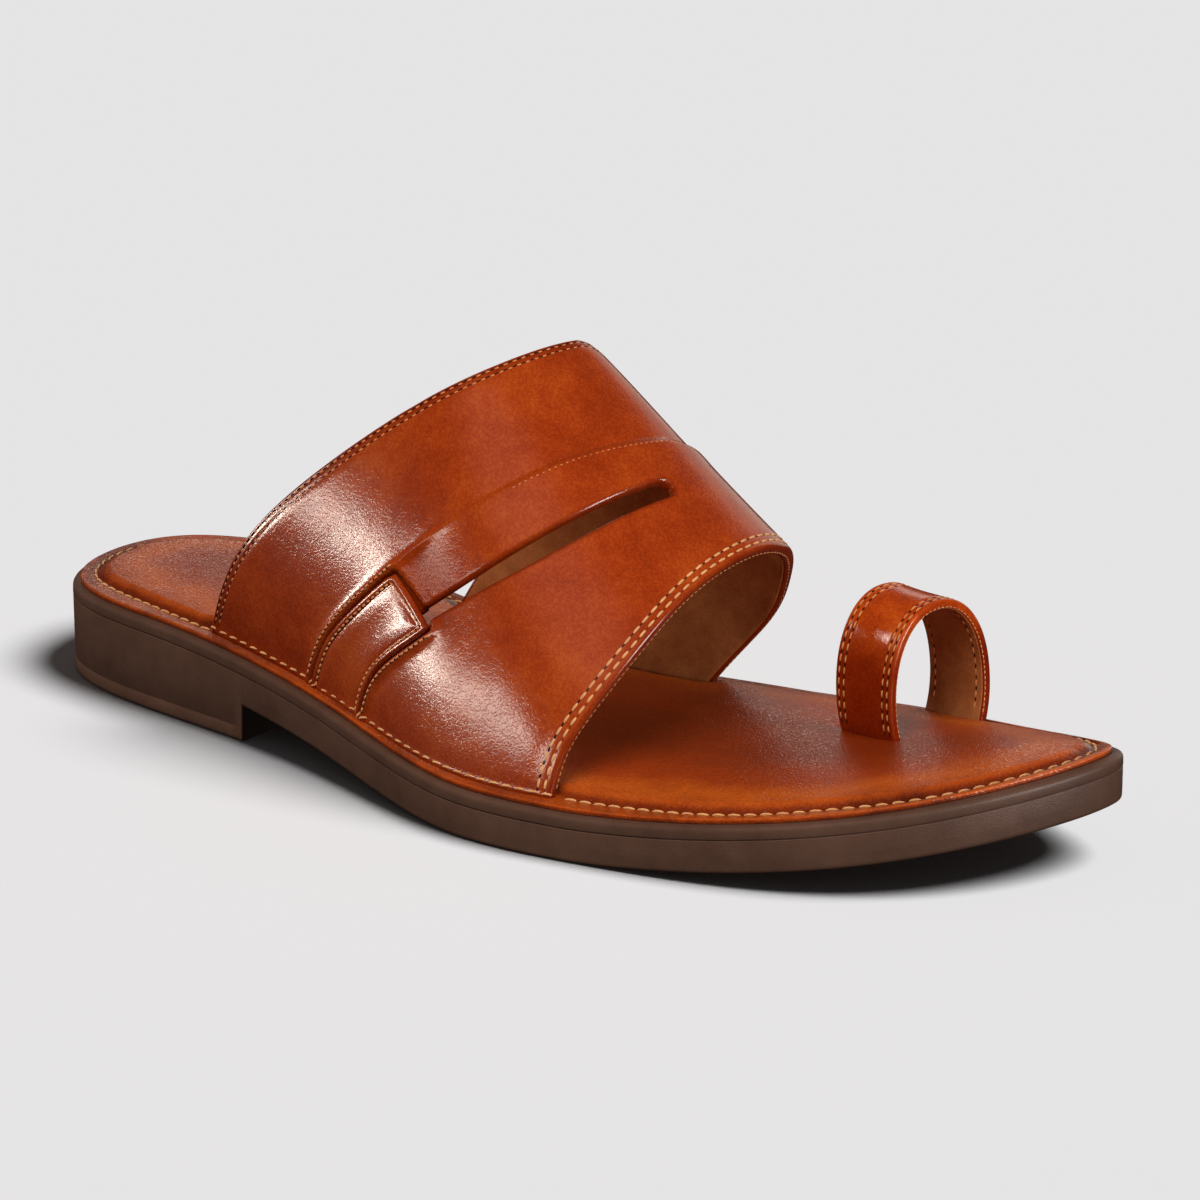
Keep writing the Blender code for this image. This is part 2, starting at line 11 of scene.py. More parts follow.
import bpy
import numpy as np
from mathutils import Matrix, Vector


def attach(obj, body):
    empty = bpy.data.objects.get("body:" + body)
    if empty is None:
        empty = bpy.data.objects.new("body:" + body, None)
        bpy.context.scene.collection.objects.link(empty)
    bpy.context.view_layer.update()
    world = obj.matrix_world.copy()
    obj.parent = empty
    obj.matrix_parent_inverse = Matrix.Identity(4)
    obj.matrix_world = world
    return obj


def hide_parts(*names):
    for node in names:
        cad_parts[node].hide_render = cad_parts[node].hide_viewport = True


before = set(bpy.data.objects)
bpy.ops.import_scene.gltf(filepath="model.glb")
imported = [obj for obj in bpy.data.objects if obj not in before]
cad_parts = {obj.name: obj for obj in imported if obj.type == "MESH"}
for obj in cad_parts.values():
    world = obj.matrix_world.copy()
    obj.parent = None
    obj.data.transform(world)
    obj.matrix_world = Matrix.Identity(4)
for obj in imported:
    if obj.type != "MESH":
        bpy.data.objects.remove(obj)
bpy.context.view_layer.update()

# %% [markdown]
# ## Curves
# A shoemaker's last is drawn from a few marks joined by smooth lines, so the first tool is a cubic
# spline: through every mark, with no kink between them. It can end freely or close into a loop.
# Lengths are in millimetres: `along` runs from the back of the heel to the toe, `side` from the
# heel's middle towards the big toe, and height from the ground. `place` turns them into metres.

# %% Splines and easing
def spline(knots, values, at, closed=False):
    """Cubic spline through values at knots: natural ends or, if closed, a smooth loop."""
    knots, values, at = (np.asarray(item, float) for item in (knots, values, at))
    gaps = np.diff(knots)
    slopes = (np.diff(values, axis=0).T / gaps).T
    count = len(knots)
    matrix = np.zeros((count, count))
    target = np.zeros_like(values)
    inner = np.arange(1, count - 1)
    matrix[inner, inner - 1] = gaps[:-1]
    matrix[inner, inner] = 2 * (gaps[:-1] + gaps[1:])
    matrix[inner, inner + 1] = gaps[1:]
    target[inner] = 6 * np.diff(slopes, axis=0)
    if closed:
        matrix[0, [0, 1, -2]] = 2 * (gaps[-1] + gaps[0]), gaps[0], gaps[-1]
        target[0] = 6 * (slopes[0] - slopes[-1])
        matrix[-1, [0, -1]] = 1, -1
    else:
        matrix[0, 0] = matrix[-1, -1] = 1
    bend = np.linalg.solve(matrix, target)
    cell = np.clip(np.searchsorted(knots, at, side="right") - 1, 0, count - 2)
    width = gaps[cell]
    right = (at - knots[cell]) / width
    left = 1 - right
    if values.ndim == 2:
        width, left, right = width[:, None], left[:, None], right[:, None]
    curved = (left ** 3 - left) * bend[cell] + (right ** 3 - right) * bend[cell + 1]
    return left * values[cell] + right * values[cell + 1] + curved * width ** 2 / 6


def read(table, column, at):
    """A table's column as a smooth function of the table's first column."""
    at = np.asarray(at, float)
    knots = [row[0] for row in table]
    values = [getattr(row, column) for row in table]
    return spline(knots, values, at.ravel()).reshape(at.shape)


def sample(places, values, at):
    """Each column of values, given at places along a line, read at other places."""
    return np.column_stack([np.interp(at, places, column) for column in values.T])


def ease(share):
    """Smooth step: 0 up to share 0, 1 from share 1 on, level at both ends."""
    share = np.clip(share, 0, 1)
    return share * share * (3 - 2 * share)


def bell(distance, reach, power=2):
    """A bell-shaped share: 1 at distance 0 and 1/e at reach; a higher power flattens its top."""
    return np.exp(-(distance / reach) ** power)


def unit(vectors):
    """Vectors divided by their lengths."""
    return vectors / np.maximum(np.linalg.norm(vectors, axis=-1, keepdims=True), 1e-9)


print("spline through 0, 1, 0 half way:", spline([0, 1, 2], [0, 1, 0], [0.5, 1.5]))

# %% [markdown]
# ## The sole's outline and heights
# The outline is a loop through named marks. The slab of rubber comes down from the raised heel,
# lies flat under the ball and turns up at the toe; everything above it follows the same curve.

# %% Outline and heights
LENGTH, BALL_WIDTH, INSTEP_HEIGHT = 285.8, 105.0, 101.0
HEEL_LIFT, LIFT_TOP, LIFT_END = 11.7, 38.0, 160.0
SPRING_START, TOE_SPRING, SPRING_POWER = 183.0, 15.2, 1.6
SLAB_THICKNESS, BREAST, GAP, RIM_THICKNESS = 11.3, 76.0, 0.3, 1.0

Mark = namedtuple("Mark", "name along side")
OUTLINE = (
    Mark("back of the heel", 0.0, 0.0), Mark("outer heel corner", 8.4, -23.4),
    Mark("outer heel", 41.5, -34.6), Mark("outer waist", 102.0, -42.0),
    Mark("behind the little toe joint", 150.5, -54.4), Mark("little toe joint", 188.2, -51.8),
    Mark("little toe", 239.2, -36.7), Mark("third toe", 273.8, -8.6),
    Mark("tip", 285.7, 21.8), Mark("big toe corner", 276.0, 31.7),
    Mark("big toe", 249.6, 41.2), Mark("big toe joint", 204.5, 50.0),
    Mark("inner waist", 134.5, 38.2), Mark("inner heel", 60.7, 34.6),
    Mark("inner heel corner", 10.3, 22.2),
)


def dense_outline(count=7000):
    """The outline as many points and inward normals, counter-clockwise seen from above."""
    marks = np.array([(mark.along, mark.side) for mark in OUTLINE])
    loop = np.vstack([marks, marks[:1]])
    knots = np.concatenate([[0.0], np.cumsum(np.linalg.norm(np.diff(loop, axis=0), axis=1) ** 0.5)])
    points = spline(knots, loop, np.linspace(0, knots[-1], count, endpoint=False), closed=True)
    low, high = points.min(axis=0), points.max(axis=0)
    points = (points - low) / (high - low) * np.array([LENGTH, BALL_WIDTH]) + [0.0, low[1]]
    tangents = np.roll(points, -1, axis=0) - np.roll(points, 1, axis=0)
    return points, unit(np.column_stack([-tangents[:, 1], tangents[:, 0]]))


EDGE_POINTS, EDGE_NORMALS = dense_outline()
MIDDLE = (EDGE_POINTS[:, 1].min() + EDGE_POINTS[:, 1].max()) / 2


def place(points):
    """Last coordinates in millimetres to metres about the origin under the sole's middle."""
    return (np.asarray(points, float) - [LENGTH / 2, MIDDLE, 0.0]) * 0.001


def underside(along):
    """Height of the slab's underside: a cosine ramp down from the heel, then the toe spring."""
    down = np.clip((along - LIFT_TOP) / (LIFT_END - LIFT_TOP), 0, 1)
    up = np.clip((along - SPRING_START) / (LENGTH - SPRING_START), 0, None)
    return HEEL_LIFT * (1 + np.cos(np.pi * down)) / 2 + TOE_SPRING * up ** SPRING_POWER


def rubber_top(along):
    """Height of the rubber under the footbed."""
    return underside(along) + SLAB_THICKNESS


def rim_top(along):
    """Height of the footbed's flat rim."""
    return rubber_top(along) + GAP + RIM_THICKNESS


def outline_side(stations, inset, outer):
    """One side of the outline read at stations along the foot and moved inward by inset."""
    heel = EDGE_POINTS[:, 0].argmin()
    points, normals = np.roll(EDGE_POINTS, -heel, axis=0), np.roll(EDGE_NORMALS, -heel, axis=0)
    toe = points[:, 0].argmax()
    if outer:
        points, normals = points[:toe + 1], normals[:toe + 1]
    else:
        points, normals = points[toe:][::-1], normals[toe:][::-1]
    at = np.clip(stations, points[0, 0], points[-1, 0])
    side = np.interp(at, points[:, 0], points[:, 1])
    normal = unit(sample(points[:, 0], normals, at))
    return np.column_stack([at, side]) + normal * np.reshape(inset, (-1, 1))


STATIONS, BREAST_HALF = 420, 0.15
crowded = LENGTH * (1 - np.cos(np.linspace(0, np.pi, STATIONS + 1))) / 2
near_breast = np.abs(crowded - BREAST).argmin()
ALONG = np.concatenate([crowded[:near_breast], [BREAST - BREAST_HALF, BREAST + BREAST_HALF],
                        crowded[near_breast + 1:]])
print("stations along the sole:", len(ALONG), "width", round(np.ptp(EDGE_POINTS[:, 1]), 1), "mm")

# %% [markdown]
# ## From numbers to meshes
# A surface is a grid of point numbers; four neighbours make a face. Four small tools are enough
# for the whole sandal: rings stacked into a slab, a wall between two grids, a strap carried along
# an arch, and a stitch repeated along a path. Each finished object sits at the origin with its
# place in its mesh.

# %% Mesh tools
def grid_corners(numbers):
    """The four point numbers round each cell of a grid, cell by cell."""
    return np.stack([numbers[:-1, :-1], numbers[:-1, 1:], numbers[1:, 1:], numbers[1:, :-1]], -1)


def grid_faces(numbers):
    """Four-sided faces between neighbouring rows and columns of point numbers."""
    return grid_corners(numbers).reshape(-1, 4)


def tube_faces(rings):
    """Faces round a stack of closed rings, from their point numbers, ring by ring."""
    return grid_faces(np.hstack([rings, rings[:, :1]]))


def signed_volume(points, faces):
    """Volume inside the faces, negative if they point inwards."""
    total = 0.0
    for group in faces:
        for second in range(1, group.shape[1] - 1):
            a, b, c = points[group[:, 0]], points[group[:, second]], points[group[:, second + 1]]
            total += np.einsum("ij,ij->i", a, np.cross(b, c)).sum() / 6
    return total


def add_object(name, data):
    """A new object in the scene, at the origin."""
    item = bpy.data.objects.new(name, data)
    bpy.context.scene.collection.objects.link(item)
    return item


def smooth_mesh(name, points, faces, material):
    """A smooth-shaded mesh from points in metres and groups of faces."""
    mesh = bpy.data.meshes.new(name)
    mesh.from_pydata(points.tolist(), [], [face for group in faces for face in group.tolist()])
    mesh.materials.append(material)
    mesh.shade_smooth()
    mesh.update()
    return mesh


def make_piece(name, points, faces, material, stands_for=None, attributes=None):
    """A smooth closed mesh object riding on the sandal, from millimetres in last coordinates.

    The shape's faces have to agree with each other; if all of them point inwards, all are turned.
    """
    points = place(points)
    if signed_volume(points, faces) < 0:
        faces = [group[:, ::-1] for group in faces]
    mesh = smooth_mesh(name, points, faces, material)
    for key, values in (attributes or {}).items():
        layer = mesh.attributes.new(key, "FLOAT", "POINT")
        layer.data.foreach_set("value", np.asarray(values, np.float32))
    piece = add_object(name, mesh)
    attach(piece, "root")
    if stands_for:
        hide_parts(stands_for)
    triangles = sum(len(group) * (group.shape[1] - 2) for group in faces)
    print(f"{name}: {len(points)} points, {triangles} triangles")
    return piece


print("faces of a grid of three by two points:", grid_faces(np.arange(6).reshape(3, 2)).tolist())

# %% [markdown]
# The sole and the footbed are slabs. Every ring round them has the same number of points, so rings
# join without any search, and a cap can run straight across from one side to the other.

# %% Rings and slabs
def slab(levels, across, bottom_height, top_height):
    """Points and faces of a solid made of rings round the sole, capped below and above.

    A cap is a grid of straight rows from the ring's outer side to its inner side, closed by a fan
    at the heel and one at the toe. Only the upper cap is turned over, to agree with the wall.
    """
    points = [np.column_stack([ring, height]) for ring, height in levels]
    size = len(points[0])
    numbers = np.arange(size * len(levels)).reshape(len(levels), size)
    faces = [tube_faces(numbers)]
    last = size // 2
    total = size * len(levels)
    shares = ((1 - np.cos(np.linspace(0, np.pi, across + 1))) / 2)[1:-1]
    for level, height, flip in ((0, bottom_height, False), (len(levels) - 1, top_height, True)):
        ring = levels[level][0]
        start, finish = ring[1:last], ring[:last:-1]
        inside = start[:, None] + shares[None, :, None] * (finish - start)[:, None]
        flat = inside.reshape(-1, 2)
        points.append(np.column_stack([flat, height(flat, np.repeat(ALONG[1:-1], across - 1))]))
        middle = total + np.arange(len(flat)).reshape(last - 1, -1)
        total += len(flat)
        outer, inner = numbers[level, 1:last], numbers[level, :last:-1]
        rows = np.column_stack([outer, middle, inner])
        heel = np.column_stack([np.full(across, numbers[level, 0]), rows[0, 1:], rows[0, :-1]])
        toe = np.column_stack([np.full(across, numbers[level, last]), rows[-1, :-1], rows[-1, 1:]])
        cap = [grid_faces(rows), heel, toe]
        faces += [group[:, ::-1] for group in cap] if flip else cap
    return np.vstack(points), faces


def ring_of(outer_inset, inner_inset=None):
    """A ring round the sole: its outer side from heel to toe, then its inner side back."""
    inner_inset = outer_inset if inner_inset is None else inner_inset
    outer = outline_side(ALONG, np.broadcast_to(outer_inset, ALONG.shape), True)
    inner = outline_side(ALONG, np.broadcast_to(inner_inset, ALONG.shape), False)
    return np.vstack([outer, inner[-2:0:-1]])


def rounded_tip(ring, spread=9.0, tails=30, reach=24.0, run=8.0):
    """A ring whose corner at the tip is rounded: each point near it is a mean of its neighbours.

    The mean is a bell of width spread, cut off at tails, both in steps along the ring. It sets in
    at reach millimetres before the tip and is full after a run.
    """
    steps = np.arange(-tails, tails + 1)
    weights = np.exp(-(steps / spread) ** 2 / 2)
    weights /= weights.sum()
    looped = np.vstack([ring[-tails:], ring, ring[:tails]])
    mean = np.column_stack([np.convolve(column, weights, "valid") for column in looped.T])
    share = ease((ring[:, :1] - LENGTH + reach) / run)
    return ring + share * (mean - ring)


RING_ALONG = ring_of(0.0)[:, 0]
print("points in a ring:", len(RING_ALONG))

# %% [markdown]
# The band and the tab are walls: two grids face to face, closed along every border. How far a point
# is from a border or a seam decides how the leather rolls or sinks there.

# %% Distances and walls
BLOCK = 3000


def distance_to(points, line, closed=False):
    """Distance from each point of a list or grid to the nearest stretch of a line of points.

    It is worked out for a block of points at a time, to save memory.
    """
    start = line if closed else line[:-1]
    edge = (np.roll(line, -1, axis=0) if closed else line[1:]) - start
    square = np.maximum((edge ** 2).sum(-1), 1e-12)
    result, flat = [], points.reshape(-1, points.shape[-1])
    for block in np.array_split(flat, max(1, len(flat) // BLOCK)):
        offset = block[:, None] - start[None]
        share = np.clip((offset * edge).sum(-1) / square, 0, 1)
        result.append(np.linalg.norm(offset - share[..., None] * edge, axis=-1).min(axis=1))
    return np.concatenate(result).reshape(points.shape[:-1])


def wall(outer, inner, kept):
    """A wall between two grids, open where a cell isn't kept: points, faces, points' numbers."""
    rows, columns = outer.shape[:2]
    number = np.arange(rows * columns).reshape(rows, columns)
    under = rows * columns
    corners = grid_corners(number)
    top = corners[kept]
    faces = [top, top[:, ::-1] + under]
    framed = np.pad(kept, 1)
    neighbours = (framed[:-2, 1:-1], framed[1:-1, 2:], framed[2:, 1:-1], framed[1:-1, :-2])
    for side, neighbour in enumerate(neighbours):
        border = corners[kept & ~neighbour]
        start, finish = border[:, side], border[:, (side + 1) % 4]
        faces.append(np.column_stack([finish, start, start + under, finish + under]))
    points = np.concatenate([outer.reshape(-1, 3), inner.reshape(-1, 3)])
    used = np.unique(np.concatenate([group.ravel() for group in faces]))
    renumber = np.zeros(len(points), int)
    renumber[used] = np.arange(len(used))
    return points[used], [renumber[group] for group in faces], used


def on_wall(values, used):
    """A value for each point of a grid, as a list for a wall's points on both its faces."""
    return np.tile(values.ravel(), 2)[used]


print("from (0, 1) to a line along the first axis:",
      distance_to(np.array([[0.0, 1.0]]), np.array([[-1.0, 0.0], [1.0, 0.0]])))

# %% [markdown]
# ## Materials
# Polished leather is a dyed hide under a thin finish: a fine pebble of pores and creases, cloudy
# colour, and a gloss that the pebble breaks up. One node group makes the pebble and another the
# clouds, so that the band, the ring and the footbed share them with their own values.

# %% Node helpers
def add(tree, kind, **values):
    """A shader node with its settings and unlinked inputs given by name."""
    node = tree.nodes.new(kind)
    for key, value in values.items():
        if key in node.inputs:
            node.inputs[key].default_value = value
        else:
            setattr(node, key.replace(" ", "_"), value)
    return node


def new_group(name, inputs, outputs):
    """An empty node group with named float sockets."""
    tree = bpy.data.node_groups.new(name, "ShaderNodeTree")
    for label, value in inputs:
        socket = tree.interface.new_socket(label, in_out="INPUT", socket_type="NodeSocketFloat")
        socket.default_value = value
    for label in outputs:
        tree.interface.new_socket(label, in_out="OUTPUT", socket_type="NodeSocketFloat")
    return tree, tree.nodes.new("NodeGroupInput"), tree.nodes.new("NodeGroupOutput")


def arithmetic(tree, operation, first, second=None, third=None):
    """A Math node on sockets or numbers."""
    node = tree.nodes.new("ShaderNodeMath")
    node.operation = operation
    for index, value in enumerate((first, second, third)):
        if value is None:
            continue
        if isinstance(value, (int, float)):
            node.inputs[index].default_value = value
        else:
            tree.links.new(value, node.inputs[index])
    return node.outputs[0]


def group_node(tree, group, **values):
    """A shared node group placed in a material with its own values."""
    node = tree.nodes.new("ShaderNodeGroup")
    node.node_tree = group
    for key, value in values.items():
        node.inputs[key].default_value = value
    return node


def ramp(tree, factor, stops):
    """A colour ramp through (position, colour) stops."""
    node = tree.nodes.new("ShaderNodeValToRGB")
    elements = node.color_ramp.elements
    elements[0].position, elements[1].position = stops[0][0], stops[-1][0]
    elements[0].color, elements[1].color = (*stops[0][1], 1), (*stops[-1][1], 1)
    for position, color in stops[1:-1]:
        elements.new(position).color = (*color, 1)
    tree.links.new(factor, node.inputs[0])
    return node.outputs[0]


def linear(red, green, blue):
    """A display colour of 0 to 255 as linear light."""
    share = np.array([red, green, blue]) / 255
    return tuple(np.where(share <= 0.04045, share / 12.92, ((share + 0.055) / 1.055) ** 2.4))


def start_material(name, **values):
    """A new material with constants set on its shader: the material, its nodes, its shader."""
    material = bpy.data.materials.new(name)
    material.use_nodes = True
    shader = material.node_tree.nodes["Principled BSDF"]
    for key, value in values.items():
        shader.inputs[key.replace("_", " ")].default_value = value
    return material, material.node_tree, shader


def bump_into(tree, shader, height, distance):
    """Bumps a shader's surface and returns the bumped normal.

    A height of one stands for distance metres.
    """
    bump = add(tree, "ShaderNodeBump", Strength=1.0, Distance=distance)
    tree.links.new(height, bump.inputs["Height"])
    tree.links.new(bump.outputs[0], shader.inputs["Normal"])
    return bump.outputs[0]


def attribute(tree, name):
    """The value of one of the piece's own attributes."""
    return add(tree, "ShaderNodeAttribute", attribute_name=name).outputs["Fac"]


print("a display colour of 128 as linear light:", round(linear(128, 128, 128)[0], 4))

# %% [markdown]
# Creases run where a noise crosses its middle value. Clouds are two noises added up. Both groups
# read the object's own coordinates, so nothing slides when the object moves.

# %% Grain and clouds
CREASE_STEEPNESS, PORE_HEIGHT, SWELL_HEIGHT = 6.0, 0.08, 4.0


def sized_noises(tree, given, kinds):
    """Noises of (factor, detail, distortion), each finer than the group's Size by its factor."""
    coordinates = tree.nodes.new("ShaderNodeTexCoord").outputs["Object"]
    scale = arithmetic(tree, "DIVIDE", 1.0, given.outputs["Size"])
    noises = []
    for factor, detail, distortion in kinds:
        noise = add(tree, "ShaderNodeTexNoise", Detail=detail, Distortion=distortion)
        tree.links.new(coordinates, noise.inputs["Vector"])
        tree.links.new(arithmetic(tree, "MULTIPLY", scale, factor), noise.inputs["Scale"])
        noises.append(noise.outputs[0])
    return noises


def grain_group():
    """Leather grain: creases that wander and join, about Size metres apart, and fine pores.

    Swell adds slow hollows about nine times as wide.
    """
    tree, given, result = new_group("leather_grain", (("Size", 0.0009), ("Swell", 0.5)),
                                    ("Height", "Crease"))
    worm, slow, fine = sized_noises(tree, given, ((1.05, 1.0, 0.3), (0.11, 2.0, 0.0),
                                                  (3.0, 2.0, 0.0)))
    away = arithmetic(tree, "ABSOLUTE", arithmetic(tree, "SUBTRACT", worm, 0.5))
    steep = arithmetic(tree, "MULTIPLY", away, CREASE_STEEPNESS)
    steep = arithmetic(tree, "MINIMUM", steep, 1.0)
    hill = arithmetic(tree, "SINE", arithmetic(tree, "MULTIPLY", steep, np.pi / 2))
    height = arithmetic(tree, "MULTIPLY_ADD", fine, PORE_HEIGHT, hill)
    swell = arithmetic(tree, "MULTIPLY", given.outputs["Swell"], SWELL_HEIGHT)
    height = arithmetic(tree, "ADD", height, arithmetic(tree, "MULTIPLY", slow, swell))
    tree.links.new(height, result.inputs["Height"])
    tree.links.new(arithmetic(tree, "SUBTRACT", 1.0, hill), result.inputs["Crease"])
    return tree


def cloud_group():
    """Cloudy tone of a dyed hide: two noises, of about Size metres and a quarter of it."""
    tree, given, result = new_group("hide_clouds", (("Size", 0.03),), ("Tone",))
    wide, narrow = sized_noises(tree, given, ((1.0, 3.0, 0.0), (4.3, 3.0, 0.0)))
    tone = arithmetic(tree, "ADD", arithmetic(tree, "MULTIPLY", wide, 0.65),
                      arithmetic(tree, "MULTIPLY", narrow, 0.35))
    tree.links.new(tone, result.inputs["Tone"])
    return tree


GRAIN, CLOUDS = grain_group(), cloud_group()
print("node groups:", GRAIN.name, CLOUDS.name)

# %% [markdown]
# The band's leather is glossy on top and dull where no brush can reach. Linings are the same hide
# turned round, unfinished. The footbed's colour follows the distance from its edge, where it was
# rubbed golden. Rubber and thread need only a slow change of tone.

# %% Leather, lining, rubber and thread
CLOUD_DEPTH, RUBBED_DEPTH = 28.0, 50.0


def tinted_darker(tree, color, mask, tint):
    """The colour, taken towards a multiple of itself by tint where the mask is full."""
    mix = add(tree, "ShaderNodeMix", data_type="RGBA", blend_type="MULTIPLY")
    tree.links.new(mask, mix.inputs["Factor"])
    tree.links.new(color, mix.inputs["A"])
    mix.inputs["B"].default_value = (*tint, 1)
    return mix.outputs["Result"]


def leather(name, dark, middle, light, depth=0.000012):
    """Polished leather: cloudy dye between three colours, fine grain, and a clear finish.

    The piece's attribute of dye and painted shade says where the colour is darker: along edges,
    where dye has gathered, and low down, where shade is painted in. Its unpolished attribute says
    where the brush can't reach.
    """
    material, tree, shader = start_material(name, Roughness=0.34, Coat_Roughness=0.17, IOR=1.45,
                                            Specular_IOR_Level=0.0)
    recess = attribute(tree, "unpolished")
    tree.links.new(arithmetic(tree, "SUBTRACT", 1.0, recess), shader.inputs["Coat Weight"])
    clouds = group_node(tree, CLOUDS, Size=0.02)
    grain = group_node(tree, GRAIN, Size=0.0011, Swell=2.0)
    tone = arithmetic(tree, "MULTIPLY_ADD", grain.outputs["Crease"], -0.2, clouds.outputs["Tone"])
    color = ramp(tree, tone, ((0.22, dark), (0.42, middle), (0.62, light)))
    # Darker where dye gathers along the edges, and where shade is painted in low down.
    color = tinted_darker(tree, color, attribute(tree, "burnish"), (0.42, 0.24, 0.16))
    tree.links.new(color, shader.inputs["Base Color"])
    normal = bump_into(tree, shader, grain.outputs["Height"], depth)
    tree.links.new(normal, shader.inputs["Coat Normal"])
    return material


def suede(name, dark, light, depth, roughness):
    """Unfinished leather, as on linings: matt and soft, with a faint crease."""
    material, tree, shader = start_material(name, Roughness=roughness, IOR=1.45)
    clouds = group_node(tree, CLOUDS, Size=0.014)
    grain = group_node(tree, GRAIN, Size=0.0012, Swell=0.8)
    tone = arithmetic(tree, "MULTIPLY_ADD", grain.outputs["Crease"], -0.08, clouds.outputs["Tone"])
    tree.links.new(ramp(tree, tone, ((0.3, dark), (0.62, light))), shader.inputs["Base Color"])
    bump_into(tree, shader, grain.outputs["Height"], depth)
    return material


def footbed_leather():
    """Footbed leather: golden just inside the pad's edge and darker further in.

    The piece's depth attribute is the distance inside the pad, which the clouds shift, and its
    groove attribute says where it is darker: painted shade round the pad's foot beside the channel,
    and a darker colour on the rim's cut edge.
    """
    material, tree, shader = start_material("footbed_leather", Roughness=0.34, Coat_Weight=0.5,
                                            Coat_Roughness=0.2, IOR=1.45)
    clouds = group_node(tree, CLOUDS, Size=0.03)
    grain = group_node(tree, GRAIN, Size=0.0012, Swell=0.4)
    inward = arithmetic(tree, "MULTIPLY_ADD", clouds.outputs["Tone"], CLOUD_DEPTH,
                        attribute(tree, "depth"))
    share = arithmetic(tree, "DIVIDE", inward, RUBBED_DEPTH)
    color = ramp(tree, share, ((0.22, linear(126, 48, 15)), (0.32, linear(180, 74, 19)),
                               (0.42, linear(197, 88, 22)), (0.58, linear(164, 60, 17)),
                               (0.90, linear(136, 48, 14))))
    # Grain creases a little darker, plus painted shade and the darker cut edge from the groove
    # attribute.
    mask = arithmetic(tree, "MULTIPLY_ADD", grain.outputs["Crease"], 0.3,
                      attribute(tree, "groove"))
    tree.links.new(tinted_darker(tree, color, mask, (0.42, 0.3, 0.22)), shader.inputs["Base Color"])
    normal = bump_into(tree, shader, grain.outputs["Height"], distance=0.00007)
    tree.links.new(normal, shader.inputs["Coat Normal"])
    return material


def rubber():
    """Moulded rubber: cloudy dark brown, satin, with a fine pebbled skin."""
    material, tree, shader = start_material("outsole_rubber", Roughness=0.46, IOR=1.45)
    clouds = group_node(tree, CLOUDS, Size=0.02)
    grain = group_node(tree, GRAIN, Size=0.0007, Swell=0.2)
    color = ramp(tree, clouds.outputs["Tone"], ((0.25, linear(73, 49, 38)),
                                                (0.75, linear(98, 69, 55))))
    tree.links.new(color, shader.inputs["Base Color"])
    bump_into(tree, shader, grain.outputs["Height"], distance=0.00002)
    return material


def thread_material(name, dark, light):
    """Waxed thread, with a slow change of tone from stitch to stitch."""
    material, tree, shader = start_material(name, Roughness=0.5, IOR=1.45, Sheen_Weight=0.1)
    clouds = group_node(tree, CLOUDS, Size=0.004)
    tree.links.new(ramp(tree, clouds.outputs["Tone"], ((0.3, dark), (0.7, light))),
                   shader.inputs["Base Color"])
    return material


BAND_LEATHER = leather("band_leather", linear(136, 43, 10), linear(155, 54, 14),
                       linear(170, 69, 19))
RING_LEATHER = leather("ring_leather", linear(160, 53, 11), linear(190, 70, 15),
                       linear(204, 88, 22), depth=0.00001)
LINING = suede("lining_leather", linear(140, 76, 38), linear(178, 108, 60), 0.00003, 0.42)
# Needle holes are flat dark lenses: painted shade standing for the inside of each hole.
PAINTED_HOLE_SHADE = start_material("needle_hole", Base_Color=(*linear(40, 14, 5), 1), Roughness=0.8)[0]
FOOTBED_LEATHER, RUBBER = footbed_leather(), rubber()
PALE_THREAD = thread_material("pale_thread", linear(198, 130, 76), linear(230, 172, 112))
TAN_THREAD = thread_material("tan_thread", linear(184, 106, 50), linear(222, 150, 88))
print("materials:", sorted(material.name for material in bpy.data.materials))

# %% [markdown]
# ## The rubber sole
# The moulded sole is a stack of rings, each a named step of its side: a rounded ground edge, the
# wall, a fine groove where the welt strip begins, and a rounded top edge. A second groove near
# the ground marks the heel lift. The heel ends in a breast, where the underside jumps up.

# %% Outsole
Step = namedtuple("Step", "inset from_top height heel_groove")
SOLE_STEPS = (
    Step(1.20, False, 0.00, 0.0), Step(0.62, False, 0.10, 0.0), Step(0.22, False, 0.38, 0.0),
    Step(0.04, False, 0.80, 0.0), Step(0.00, False, 1.30, 0.0), Step(-0.02, False, 3.45, 0.0),
    Step(-0.02, False, 3.65, 0.16), Step(-0.02, False, 3.85, 0.16), Step(0.00, False, 4.10, 0.0),
    Step(0.00, True, -3.45, 0.0), Step(0.03, True, -3.34, 0.0), Step(0.24, True, -3.26, 0.0),
    Step(0.24, True, -3.12, 0.0), Step(0.04, True, -3.04, 0.0), Step(-0.03, True, -2.75, 0.0),
    Step(0.02, True, -1.25, 0.0), Step(0.10, True, -0.80, 0.0), Step(0.32, True, -0.42, 0.0),
    Step(0.72, True, -0.15, 0.0),
    Step(1.30, True, -0.08, 0.0), Step(1.80, True, 0.00, 0.0), Step(6.00, True, 0.00, 0.0),
)
TREAD_INSET, TREAD_DEPTH, TREAD_PERIOD = 7.0, 1.1, 9.0
TREAD_START, TREAD_RUN, EDGE_INSET, MARGIN_RUN = 0.55, 0.3, 1.5, 1.5
WAVE_HEIGHT, WAVE_LENGTH, WAIST_MIDDLE, WAIST_HALF, WAIST_RUN = 3.0, 7.0, 108, 28, 6
BREAST_CLEAR, CLEAR_RUN, SOLE_ACROSS = 8, 3, 46


def ground_face(along, station):
    """Zero under the heel block and the slab's underside past the breast."""
    return np.where(station < BREAST, 0.0, underside(along))


def under_footbed(flat, station):
    """The rubber's top, as a cap of a slab: it needs no station."""
    return rubber_top(flat[:, 0])


